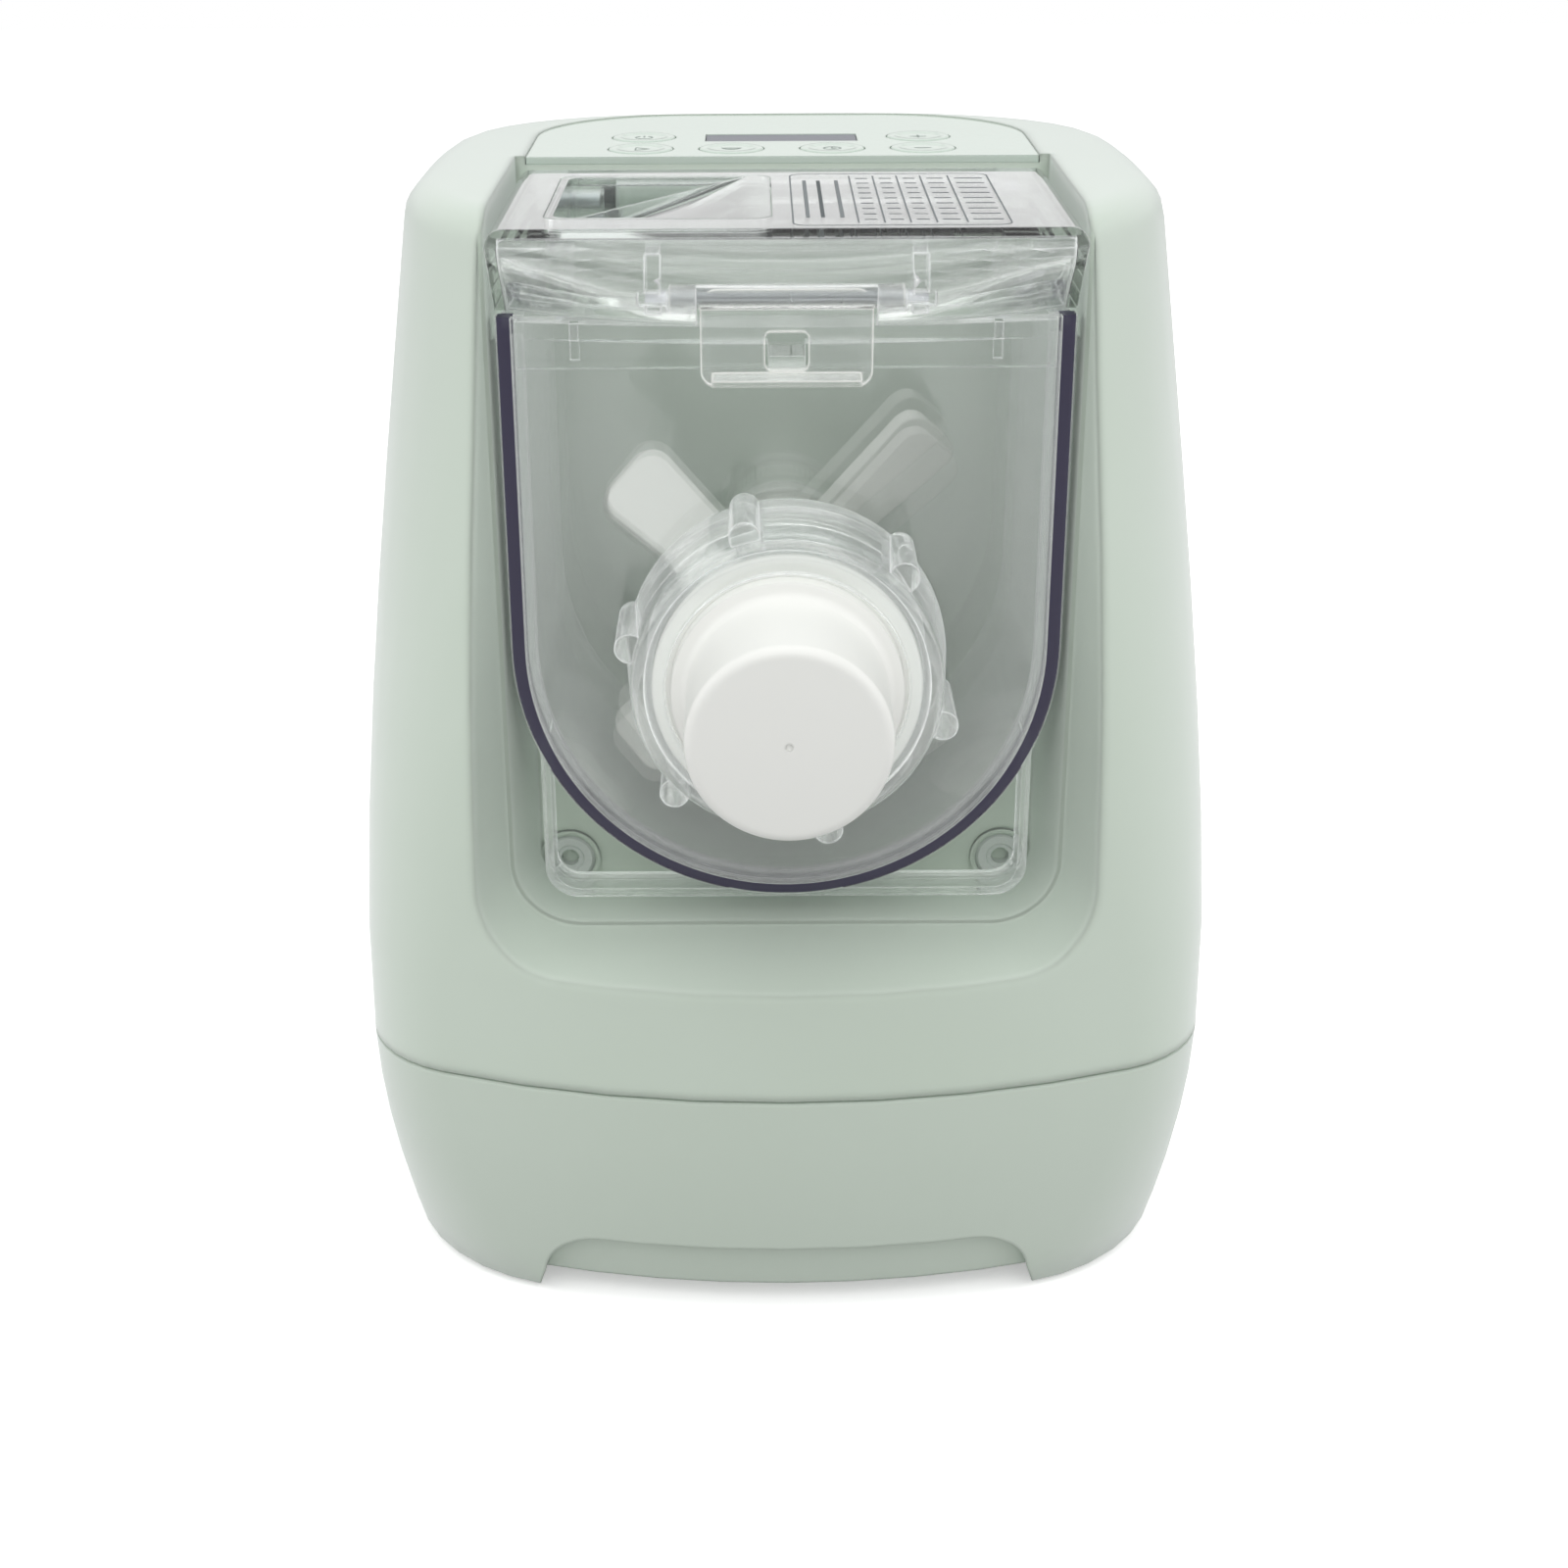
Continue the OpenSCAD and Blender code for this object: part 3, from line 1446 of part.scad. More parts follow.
module lid_latch() {
    win_x = 4.6;
    color(clear)
        difference() {
            union() {
                // tab
                along_y(latch_y, latch_y + latch_t)
                    round_rect(-latch_w / 2, latch_low_z, latch_w / 2, latch_axle_z + 2, 3.5);
                // pull lip along the bottom
                along_x(-latch_w / 2 + 2.5, latch_w / 2 - 2.5)
                    polygon([[latch_y + 1, latch_low_z], [latch_y - 4, latch_low_z + 1],
                        [latch_y - 4.8, latch_low_z + 2.4], [latch_y - 4, latch_low_z + 3],
                        [latch_y + 1, latch_low_z + 3.2]]);
                // pivot bar
                translate([-latch_half, latch_axle_y, latch_axle_z])
                    rotate([0, 90, 0])
                        cylinder(r = latch_bar_r, h = 2 * latch_half);
            }
            // window for the catch
            along_y(latch_y - 8, latch_y + 8)
                round_rect(-win_x, catch_low_z - 1, win_x, catch_low_z + 7, 1.2);
            translate([-latch_half - 1, latch_axle_y, latch_axle_z])
                rotate([0, 90, 0])
                    cylinder(r = latch_pin_r, h = 2 * latch_half + 2);
        }
}
catch_low_z = latch_low_z + 4.8;

module latch_pins() {
    color(steel)
        translate([-latch_half - 5, latch_axle_y, latch_axle_z])
            rotate([0, 90, 0])
                cylinder(r = latch_pin_r, h = 2 * latch_half + 10);
}

// ---- Front plate, die and nut ----

rail_z0 = lid_under_z - 11.1;
shelf_z = lid_under_z - 4.4;
rail_z1 = lid_under_z - 0.6;
module front_plate() {
    color(clear)
        difference() {
            union() {
                along_y(plate_front_y, plate_rear_y)
                    u_shape(seat_r - 0.2, rail_z1);
                // stiffening rail along the top, with a bowed shelf above it
                translate([-seat_r + 1.5, plate_front_y - 2.6, rail_z0])
                    cube([2 * seat_r - 3, 3, rail_z1 - rail_z0]);
                translate([0, 0, shelf_z])
                    linear_extrude(height = rail_z1 - shelf_z)
                        polygon(concat(
                            [[seat_r - 2, plate_front_y], [-seat_r + 2, plate_front_y]],
                            [for (i = [-8:8]) let(x = i * (seat_r - 2) / 8)
                                [x, plate_front_y - 2.6 - 6 * (1 - pow(i / 8, 2))]]
                        ));
                // catch for the latch
                along_x(-4, 4)
                    polygon([[plate_front_y, catch_low_z], [latch_y - 2, catch_low_z],
                        [latch_y - 2, catch_low_z + 2.5], [latch_y + 3, shelf_z + 0.5],
                        [plate_front_y, shelf_z + 0.5]]);
                // thread rings of the spigot
                cyl_y(thread_r - 1.2, spigot_y, plate_rear_y, 0, axis_z);
                for (y = [spigot_y + 1.5:thread_pitch:plate_front_y - 3])
                    translate([0, y + 1.6, axis_z])
                        rotate([90, 0, 0])
                            rotate_extrude()
                                polygon([[thread_r - 2, 0], [thread_r, 0.6], [thread_r, 1],
                                    [thread_r - 2, 1.6]]);
            }
            cyl_y(spigot_bore_r, spigot_y - 1, plate_rear_y + 1, 0, axis_z);
            // grip slots of the rail
            for (s = [-1, 1])
                translate([s * 46 - 1, plate_front_y - 4, rail_z0 + 2])
                    cube([2, 2.5, rail_z1 - rail_z0]);
        }
}

module plate_gasket() {
    color(smoke)
        along_y(plate_rear_y + 0.05, shoulder_y - 0.05)
            difference() {
                u_shape(seat_r - 0.3, bowl_top_z - 4);
                u_shape(bowl_r - bowl_wall + 0.3, bowl_top_z + 1);
            }
}

module noodle_die() {
    y_floor = die_front_y + die_wall;
    color(white)
        difference() {
            translate([0, spigot_y - 0.05, axis_z])
                rotate([90, 0, 0])
                    rotate_extrude()
                        polygon(concat(
                            [[0, 0], [die_flange_r, 0], [die_flange_r, die_flange_t]],
                            [[die_step_r, die_flange_t], [die_step_r, die_flange_t + 4]],
                            arc([die_r + 2.6, die_flange_t + 7], 2.6, 270, 180, 5),
                            arc([die_r - 2.5, die_flange_t + die_len - 2.5], 2.5, 0, 90, 6),
                            [[0, die_flange_t + die_len]]
                        ));
            cyl_y(die_r - die_wall, y_floor, spigot_y + 1, 0, axis_z);
            // noodle holes through the underside of the cup
            for (i = [-3.5:1:3.5], j = [0:3])
                translate([i * 3.1, spigot_y - die_flange_t - 11 - j * 3.6, axis_z - die_r - 2])
                    cylinder(d = noodle_d, h = die_r, $fn = 16);
            cyl_y(0.8, die_front_y - 1, die_front_y + 0.3, 0, axis_z);
        }
}

module lock_nut() {
    len_n = nut_foot_y - nut_front_y;
    front_r = nut_r - 1.6;
    color(clear)
        difference() {
            union() {
                translate([0, nut_foot_y, axis_z])
                    rotate([90, 0, 0])
                        rotate_extrude()
                            polygon(concat(
                                [[die_step_r + 1.2, 0], [nut_r, 0], [nut_r, 3]],
                                arc([front_r - 3, len_n - 3], 3, 5, 90, 5),
                                [[die_step_r + 1.2, len_n]]
                            ));
                // grip lugs
                for (k = [0:nut_lugs - 1])
                    translate([0, 0, axis_z])
                        rotate([0, k * 360 / nut_lugs + 15, 0])
                            cyl_y(lug_r, nut_front_y + 2, nut_foot_y - 1, nut_r - 0.6);
            }
            cyl_y(thread_r + 0.3, nut_lip_y, nut_foot_y + 1, 0, axis_z);
        }
}

// ---- Auger ----

module paddle(y, turn) {
    translate([0, y, axis_z])
        rotate([0, turn, 0])
            rotate([0, 0, 25])
                translate([0, 2, 0])
                    rotate([90, 0, 0])
                        linear_extrude(height = 4)
                            polygon(concat(
                                [[-6, 0], [6, 0]],
                                arc([4.5, paddle_r - 6], 5, 0, 90, 5),
                                arc([-4.5, paddle_r - 6], 5, 90, 180, 5)
                            ));
}

flight_pitch = 19;
flight_len = spigot_len - 0.6;
flight_arc = 60;
module mixing_auger() {
    color(white)
        difference() {
            union() {
                cyl_y(auger_shaft_r, spigot_y + 1.5, bowl_rear_y - 8, 0, axis_z);
                // journal in the bowl's bush
                cyl_y(journal_r, bowl_rear_y - 11, bowl_rear_y + 0.6, 0, axis_z);
                cyl_y(journal_r + 2.5, bowl_rear_y - 14, bowl_rear_y - 9.6, 0, axis_z);
                for (k = [0:3])
                    paddle(bowl_rear_y - 22 - k * 12.5, k * 90 + 45);
                // screw flight in the spigot
                translate([0, mouth_y, axis_z])
                    rotate([90, 0, 0])
                        linear_extrude(height = flight_len, twist = 360 * flight_len / flight_pitch,
                            slices = 24)
                            polygon(concat(
                                arc([0, 0], flight_r, 0, flight_arc, 5),
                                arc([0, 0], auger_shaft_r - 1, flight_arc, 0, 1)
                            ));
            }
            // hexagonal socket for the drive shaft
            translate([0, bowl_rear_y + 1, axis_z])
                rotate([90, 0, 0])
                    rotate(30)
                        cylinder(r = (hex_af / 2 + 0.15) / cos(30),
                            h = bowl_rear_y + 2 - shaft_tip_y, $fn = 6);
        }
}

upper_shell();
base_shell();
base_plate();
rubber_feet();
shell_screws();
control_panel();
display_window();
display_module();
control_board();
power_board();
bowl_catches();
interlock_switch();
cord_gland();
gearbox_case();
gearbox_cover();
gearbox_screws();
idler_axles();
output_bearings();
shaft_seal();
motor_bracket();
motor_can();
motor_stator();
motor_bearings();
output_shaft();
output_gear();
idler_gear_lower();
idler_gear_upper();
motor_shaft();
motor_pinion();
rotor_core();
cooling_fan();
mixing_bowl();
bowl_bush();
hinge_pins();
lid_shell();
lid_visor();
pour_basin();
lid_latch();
latch_pins();
front_plate();
plate_gasket();
noodle_die();
lock_nut();
mixing_auger();
key(0);  // key_rear_left
key(1);  // key_left
key(2);  // key_mid_left
key(3);  // key_mid_right
key(4);  // key_right
key(5);  // key_rear_right
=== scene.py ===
# %% [markdown]
# # An electric pasta maker, dressed for the camera
# The real machine is a satin, pale mint housing with a clear-fronted mixing bowl in
# a bay, a hinged clear lid, a glossy key panel, and a white noodle die held by a
# clear nut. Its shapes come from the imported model, so this script makes what a
# model of solids can't hold: the finishes, the prints and the light.

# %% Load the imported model
import math

import bmesh
import bpy
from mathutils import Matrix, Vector


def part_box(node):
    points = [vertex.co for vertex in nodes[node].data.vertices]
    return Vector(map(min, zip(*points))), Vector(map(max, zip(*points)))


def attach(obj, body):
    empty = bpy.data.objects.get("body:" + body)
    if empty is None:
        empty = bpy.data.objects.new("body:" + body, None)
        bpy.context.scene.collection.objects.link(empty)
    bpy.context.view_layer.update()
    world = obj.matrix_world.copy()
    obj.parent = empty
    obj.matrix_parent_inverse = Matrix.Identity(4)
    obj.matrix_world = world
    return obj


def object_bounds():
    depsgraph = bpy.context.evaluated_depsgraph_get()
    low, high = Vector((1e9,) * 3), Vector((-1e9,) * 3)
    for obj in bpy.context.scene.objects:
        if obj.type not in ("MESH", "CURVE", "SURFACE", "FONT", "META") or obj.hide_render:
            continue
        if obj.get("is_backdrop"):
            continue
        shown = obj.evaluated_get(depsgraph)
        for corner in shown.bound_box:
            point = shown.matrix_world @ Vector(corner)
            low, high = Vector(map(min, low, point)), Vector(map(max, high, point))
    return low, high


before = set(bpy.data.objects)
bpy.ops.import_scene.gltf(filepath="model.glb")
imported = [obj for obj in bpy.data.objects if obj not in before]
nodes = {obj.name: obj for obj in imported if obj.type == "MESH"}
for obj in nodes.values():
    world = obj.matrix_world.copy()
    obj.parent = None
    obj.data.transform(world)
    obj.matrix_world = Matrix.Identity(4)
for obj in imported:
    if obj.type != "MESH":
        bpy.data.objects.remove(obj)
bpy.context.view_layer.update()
MM = 0.001
print("pieces in the packed model:", len(nodes))

# %% [markdown]
# ## Colours
# A paint chip is read in sRGB, and shaders want linear light. One function turns
# a chip's three numbers into linear ones, so each finish can be named by its chip.


# %% Colour chips
def chip(red, green, blue):
    """Linear colour of a chip given in sRGB, 0 to 255."""
    def linear(value):
        value /= 255
        return value / 12.92 if value <= 0.04045 else ((value + 0.055) / 1.055) ** 2.4
    return (linear(red), linear(green), linear(blue), 1.0)


def darker(tone, share):
    """A linear colour with its three numbers taken down to a share."""
    return tuple(v * share for v in tone[:3]) + (1,)


MINT = chip(204, 216, 204)
MINT_DEEP = chip(198, 211, 197)
# pale tint of the painted sheen, mixed into the mint where a wall turns away
MINT_PAINTED_SHEEN = chip(238, 240, 242)
PANEL_MINT = chip(206, 219, 209)
DISPLAY_GREY = chip(128, 130, 138)
CLEAR = chip(250, 252, 251)
# colour of the highlight painted on the edges of clear plastic
CLEAR_EDGE_HIGHLIGHT = chip(246, 248, 248)
CLEAR_BASIN = chip(222, 230, 226)
SMOKE_BOWL = chip(150, 146, 172)
SMOKE_VISOR = chip(104, 100, 130)
SMOKE_LID = chip(92, 88, 118)
SMOKE_EDGE = chip(52, 48, 72)
WHITE = chip(240, 241, 237)
print("mint in linear light:", [round(v, 3) for v in MINT[:3]])

# %% [markdown]
# ## Shader maths as Python
# A node tree is a sum written as boxes and wires. A small class wraps one socket
# and overloads the operators, so `1 - mask * 0.4` adds the Math nodes by itself.
# Every other node comes from one method that takes its type, settings and inputs.


# %% The wire and the finish
class Wire:
    """A socket whose arithmetic adds Math nodes to its tree."""

    def __init__(self, finish, socket):
        self.finish = finish
        self.socket = socket

    def math(self, operation, first, second=0.0, clamp=False):
        settings = {"operation": operation, "use_clamp": clamp}
        return self.finish.add("ShaderNodeMath", settings, {0: first, 1: second})

    def __add__(self, other):
        return self.math("ADD", self, other)

    def __sub__(self, other):
        return self.math("SUBTRACT", self, other)

    def __rsub__(self, other):
        return self.math("SUBTRACT", other, self)

    def __mul__(self, other):
        return self.math("MULTIPLY", self, other)

    def __pow__(self, other):
        return self.math("POWER", self, other)

    __radd__ = __add__
    __rmul__ = __mul__

    def limited(self):
        """The value held between 0 and 1."""
        return self.math("ADD", self, 0.0, clamp=True)

    def below(self, edge, width):
        """1 where the value is under edge, 0 above edge + width."""
        return ((edge + width - self) * (1 / width)).limited()


class Finish:
    """A node tree under construction, for a material or the world."""

    def __init__(self, owner):
        owner.use_nodes = True
        self.owner = owner
        self.tree = owner.node_tree
        self.tree.nodes.clear()

    def add(self, kind, settings=None, inputs=None, output=0):
        """Adds one node: settings first, then the values or wires of its sockets."""
        node = self.tree.nodes.new(kind)
        for name, value in (settings or {}).items():
            setattr(node, name, value)
        for name, value in (inputs or {}).items():
            socket = find_socket(node.inputs, name)
            if isinstance(value, Wire):
                self.tree.links.new(value.socket, socket)
            else:
                socket.default_value = value
        if len(node.outputs) == 0:
            return node
        return Wire(self, find_socket(node.outputs, output))

    def mixed(self, factor, first, second):
        """Mix of two colours or colour wires."""
        return self.add("ShaderNodeMix", {"data_type": "RGBA"},
                        {"Factor_Float": factor, "A_Color": first, "B_Color": second},
                        "Result_Color")

    def place(self):
        """Where a shaded point is on the part, in metres, at rest."""
        return self.add("ShaderNodeTexCoord", None, None, "Object")

    def grain(self, scale, detail=3.0):
        """Noise with so many cells in a metre."""
        return self.add("ShaderNodeTexNoise", None,
                        {"Vector": self.place(), "Scale": scale, "Detail": detail}, "Fac")

    def axes(self):
        """The three coordinates of the shaded point."""
        split = self.add("ShaderNodeSeparateXYZ", None, {"Vector": self.place()}, "X")
        parts = split.socket.node.outputs
        return split, Wire(self, parts["Y"]), Wire(self, parts["Z"])

    def bump(self, height, strength, depth, normal=None):
        """Normal of a surface that carries a fine relief."""
        inputs = {"Height": height, "Strength": strength, "Distance": depth}
        if normal is not None:
            inputs["Normal"] = normal
        return self.add("ShaderNodeBump", None, inputs, "Normal")

    def done(self, shader):
        """Wires the last shader to the output and returns the material."""
        self.add("ShaderNodeOutputMaterial", None, {"Surface": shader})
        return self.owner


def find_socket(sockets, name):
    """A socket by number, identifier or name."""
    if isinstance(name, int):
        return sockets[name]
    by_identifier = [s for s in sockets if s.identifier == name and s.enabled]
    return by_identifier[0] if by_identifier else next(
        s for s in sockets if s.name == name and s.enabled)


def new_finish(name):
    """A material with an empty node tree."""
    return Finish(bpy.data.materials.new(name))


print("shader tools are ready")

# %% [markdown]
# ## Camera
# The view is from the front and a little above, close enough for the die to look
# large. The lens is worked out from a focal length in pixels of the 1600-pixel
# frame. A small shift and roll set the frame the way a hand-held camera does.

# %% Camera
FRAME_PX = 1600
FOCAL_PX = 2360
CENTRE_U_PX = 775.4
SENSOR_MM = 36
PITCH_DEG = 23.9
ROLL_RAD = 0.0048
CAMERA_AT = (-6.2 * MM, -560 * MM, 361 * MM)

lens = bpy.data.cameras.new("camera")
lens.sensor_width = SENSOR_MM
lens.lens = FOCAL_PX / FRAME_PX * SENSOR_MM
lens.shift_x = (FRAME_PX / 2 - CENTRE_U_PX) / FRAME_PX
camera = bpy.data.objects.new("camera", lens)
camera.location = CAMERA_AT
camera.rotation_euler = (math.radians(90 - PITCH_DEG), 0, 0)
camera.rotation_euler.rotate_axis("Z", -ROLL_RAD)
bpy.context.scene.collection.objects.link(camera)
bpy.context.scene.camera = camera
print("focal length:", round(lens.lens, 1), "mm")

# %% [markdown]
# ## Light and floor
# The machine stands in a white studio. Soft light comes from a dome that is bright
# overhead and dimmer towards the horizon, so that tops are lighter than fronts. A
# wide lamp above the front gives soft shadows, and a lamp on each side lights the
# cheeks of the housing. Seen directly, the room is white. In a mirror and through
# glass it also has grey bands, one at the horizon and more at several heights,
# which give clear plastic the dark lines it has in a room. The floor is pale, and
# a little light of its own keeps it white to the camera, with the shadow still on
# it.

# %% Light and floor
DOME_HORIZON = 0.14
DOME_ZENITH = 0.93
DOME_RISE = 1.7
BAND_GREY = 0.30
LOW_BAND_EDGE = 0.004  # this and the blur are squares of how far a ray points up
LOW_BAND_BLUR = 0.006
BAND_RATE = 24
BAND_START = 0.87
HIGH_BAND_SHARE = 0.8
FLOOR_SIZE = 6.0
FLOOR_GREY = 0.50
FLOOR_GLOW = 0.36
LAMP_AIM = (0, 0, 0.15)
TOP_LAMP_AT = (0, -0.75, 1.15)
TOP_LAMP_SIZE = 1.2
TOP_LAMP_W = 4.9
SIDE_LAMP_X = 1.05
SIDE_LAMP_Y = -0.22
SIDE_LAMP_Z = 0.5
SIDE_LAMP_SIZE = 0.8
SIDE_LAMP_W = 2.3
BLACK_LIGHT = (0, 0, 0, 1)
WHITE_LIGHT = (1, 1, 1, 1)


def ray_masks(finish):
    """Wires that are 1 for camera, mirror, refracted, shadow and diffuse rays."""
    path = finish.add("ShaderNodeLightPath", None, None, "Is Camera Ray")
    outputs = path.socket.node.outputs
    names = ("Is Glossy Ray", "Is Transmission Ray", "Is Shadow Ray", "Is Diffuse Ray")
    return [path] + [Wire(finish, outputs[name]) for name in names]


def make_world():
    """A dome of light for the part, and a white room with bands for mirrors."""
    world = bpy.data.worlds.new("studio")
    bpy.context.scene.world = world
    air = Finish(world)
    camera_ray, mirror, refracted = ray_masks(air)[:3]
    split = air.add("ShaderNodeSeparateXYZ", None, {
        "Vector": air.add("ShaderNodeTexCoord", None, None, "Generated")}, "X")
    up = Wire(air, split.socket.node.outputs["Z"])
    height = (up * DOME_RISE).limited()
    dome = height * (DOME_ZENITH - DOME_HORIZON) + DOME_HORIZON
    low_band = (up * up).below(LOW_BAND_EDGE, LOW_BAND_BLUR)
    wave = up * BAND_RATE + BAND_START
    high_bands = wave.math("SINE", wave).limited() ** 2 * HIGH_BAND_SHARE
    band = (low_band + high_bands).limited() * (mirror + refracted).limited()
    seen = 1 - band * (1 - BAND_GREY)
    direct = (camera_ray + mirror + refracted).limited()
    level = direct * seen + (1 - direct) * dome
    sky = air.add("ShaderNodeBackground", None, {"Color": WHITE_LIGHT, "Strength": level})
    air.add("ShaderNodeOutputWorld", None, {"Surface": sky})


def make_floor():
    """A floor that is grey to the part's light and white to the camera."""
    f = new_finish("studio_floor")
    camera_ray, mirror, refracted = ray_masks(f)[:3]
    direct = (camera_ray + mirror + refracted).limited()
    tone = f.mixed(direct, (FLOOR_GREY, FLOOR_GREY, FLOOR_GREY, 1), WHITE_LIGHT)
    glow = f.mixed(direct, BLACK_LIGHT, WHITE_LIGHT)
    paint = f.add("ShaderNodeBsdfPrincipled", None, {
        "Base Color": tone, "Roughness": 0.9, "Specular IOR Level": 0.0,
        "Emission Color": glow, "Emission Strength": FLOOR_GLOW})
    bpy.ops.mesh.primitive_plane_add(size=FLOOR_SIZE)
    floor = bpy.context.object
    floor.name = "studio_floor"
    floor.data.materials.append(f.done(paint))
    floor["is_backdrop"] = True


def make_lamp(name, place, size, power):
    """A square soft lamp at place that looks at the machine."""
    data = bpy.data.lights.new(name, "AREA")
    data.size = size
    data.energy = power
    lamp = bpy.data.objects.new(name, data)
    lamp.location = place
    sight = Vector(LAMP_AIM) - Vector(place)
    lamp.rotation_euler = sight.to_track_quat("-Z", "Y").to_euler()
    bpy.context.scene.collection.objects.link(lamp)


make_world()
make_floor()
make_lamp("top_lamp", TOP_LAMP_AT, TOP_LAMP_SIZE, TOP_LAMP_W)
for name, side in (("left_lamp", -1), ("right_lamp", 1)):
    make_lamp(name, (side * SIDE_LAMP_X, SIDE_LAMP_Y, SIDE_LAMP_Z), SIDE_LAMP_SIZE, SIDE_LAMP_W)
bpy.context.scene.view_settings.view_transform = "Standard"

# %% [markdown]
# ## Smooth skins
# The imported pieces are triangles. The real mouldings are smooth, with crisp edges
# only where two faces meet at a clear angle. Points that lie together are welded,
# and a small node group smooths every edge that is flatter than a limit.

# %% Smoothing by angle
WELD_GAP = 0.000004
CRISP_DEG = 28
ROUND_DEG = 40
ROUND_PIECES = ("mixing_auger", "lid_visor")


def smooth_group(limit_deg):
    """Node group that smooths the edges flatter than the limit."""
    group = bpy.data.node_groups.new(f"smooth_{limit_deg}", "GeometryNodeTree")
    for side in ("INPUT", "OUTPUT"):
        group.interface.new_socket(name="Geometry", in_out=side,
                                   socket_type="NodeSocketGeometry")
    start = group.nodes.new("NodeGroupInput")
    end = group.nodes.new("NodeGroupOutput")
    angle = group.nodes.new("GeometryNodeInputMeshEdgeAngle")
    flat = group.nodes.new("FunctionNodeCompare")
    flat.operation = "LESS_EQUAL"
    flat.inputs["B"].default_value = math.radians(limit_deg)
    faces = group.nodes.new("GeometryNodeSetShadeSmooth")
    faces.domain = "FACE"
    edges = group.nodes.new("GeometryNodeSetShadeSmooth")
    edges.domain = "EDGE"
    links = group.links
    links.new(angle.outputs["Unsigned Angle"], flat.inputs["A"])
    links.new(start.outputs[0], faces.inputs["Geometry"])
    links.new(faces.outputs[0], edges.inputs["Geometry"])
    links.new(flat.outputs[0], edges.inputs["Shade Smooth"])
    links.new(edges.outputs[0], end.inputs[0])
    return group


SMOOTH = {limit: smooth_group(limit) for limit in (CRISP_DEG, ROUND_DEG)}


def soften(piece, limit):
    """Welds a piece and smooths its flat edges, without moving a point."""
    normals = piece.data.attributes.get("custom_normal")
    if normals is not None:
        piece.data.attributes.remove(normals)
    weld = piece.modifiers.new("weld", "WELD")
    weld.merge_threshold = WELD_GAP
    rounded = piece.modifiers.new("smooth", "NODES")
    rounded.node_group = SMOOTH[limit]


for name, piece in nodes.items():
    soften(piece, ROUND_DEG if name in ROUND_PIECES else CRISP_DEG)
print("smoothed pieces:", len(nodes))

# %% [markdown]
# ## Satin housing
# The housing is moulded in a pale mint plastic with a fine spark texture. Its
# mouldings have soft edges that solids leave sharp, so a Bevel node rounds the
# normals there. Fine noise gives the grain, and a slow one the uneven gloss. Where
# the wall turns away, a pale sheen is painted into its colour, for the white room
# that a satin skin mirrors there.


# %% Satin housing
PAINTED_SHEEN_SHARE = 0.55
SPARK_PER_M = 1900
SPARK_STRENGTH = 0.10
SPARK_DEPTH = 0.0001
CLOUD_PER_M = 14
CLOUD_ROUGHNESS = 0.12
UPPER_EDGE_MM = 4.0
BASE_EDGE_MM = 1.5


def satin_plastic(name, light, deep, roughness, edge_mm):
    """Satin plastic between two near tones, with its edges rounded in the normal."""
    f = new_finish(name)
    slow = f.grain(CLOUD_PER_M, 2.0)
    facing = f.add("ShaderNodeLayerWeight", None, {"Blend": 0.5}, "Facing")
    # painted sheen: the mint is mixed towards a pale tint where the wall turns away from the
    # eye
    tone = f.mixed(facing ** 2 * PAINTED_SHEEN_SHARE, f.mixed(slow, light, deep), MINT_PAINTED_SHEEN)
    spark = f.grain(SPARK_PER_M, 2.0)
    rounded = f.add("ShaderNodeBevel", {"samples": 6}, {"Radius": edge_mm * MM})
    relief = f.bump(spark, SPARK_STRENGTH, SPARK_DEPTH, rounded)
    body = f.add("ShaderNodeBsdfPrincipled", None, {
        "Base Color": tone, "Roughness": roughness + (slow - 0.5) * CLOUD_ROUGHNESS,
        "Specular IOR Level": 0.42, "Normal": relief})
    return f.done(body)


def wear(piece_names, material):
    """Gives CAD pieces a finish."""
    for piece_name in piece_names:
        slots = nodes[piece_name].data.materials
        slots.clear()
        slots.append(material)


upper_finish = satin_plastic("satin_mint", MINT, MINT_DEEP, 0.42, UPPER_EDGE_MM)
base_finish = satin_plastic("satin_mint_base", MINT_DEEP, MINT, 0.45, BASE_EDGE_MM)
wear(["upper_shell"], upper_finish)
wear(["base_shell", "base_plate"], base_finish)
print("housing finish on 3 pieces")

# %% [markdown]
# ## Glossy panel, keys and display
# The key panel and its keys are moulded in a lighter, polished mint. The display
# hides behind a grey tinted window. Polish shows as a low roughness with a faint
# slow ripple in the normal, never as a painted highlight.


# %% Panel, keys and display
RIPPLE_PER_M = 60
RIPPLE_DEPTH = 0.0002
SCUFF_PER_M = 900
PANEL_EDGE_MM = 0.6


def polished_plastic(name, tone, roughness, ripple, coat):
    """Glossy plastic with a thin coat and a slow ripple in its normal."""
    f = new_finish(name)
    slow = f.grain(RIPPLE_PER_M, 1.0)
    colour = f.mixed(slow * 0.25, tone, darker(tone, 0.93))
    rounded = f.add("ShaderNodeBevel", {"samples": 4}, {"Radius": PANEL_EDGE_MM * MM})
    relief = f.bump(slow, ripple, RIPPLE_DEPTH, rounded)
    body = f.add("ShaderNodeBsdfPrincipled", None, {
        "Base Color": colour, "Roughness": roughness + f.grain(SCUFF_PER_M) * 0.05,
        "Specular IOR Level": coat, "Coat Weight": coat, "Coat Roughness": 0.1,
        "Normal": relief})
    return f.done(body)


KEYS = ["key_rear_left", "key_left", "key_mid_left", "key_mid_right", "key_right",
        "key_rear_right"]
wear(["control_panel"] + KEYS, polished_plastic("polished_mint", PANEL_MINT, 0.2, 0.05, 0.3))
wear(["display_window"], polished_plastic("display_tint", DISPLAY_GREY, 0.4, 0.02, 0.1))
print("keys:", len(KEYS))
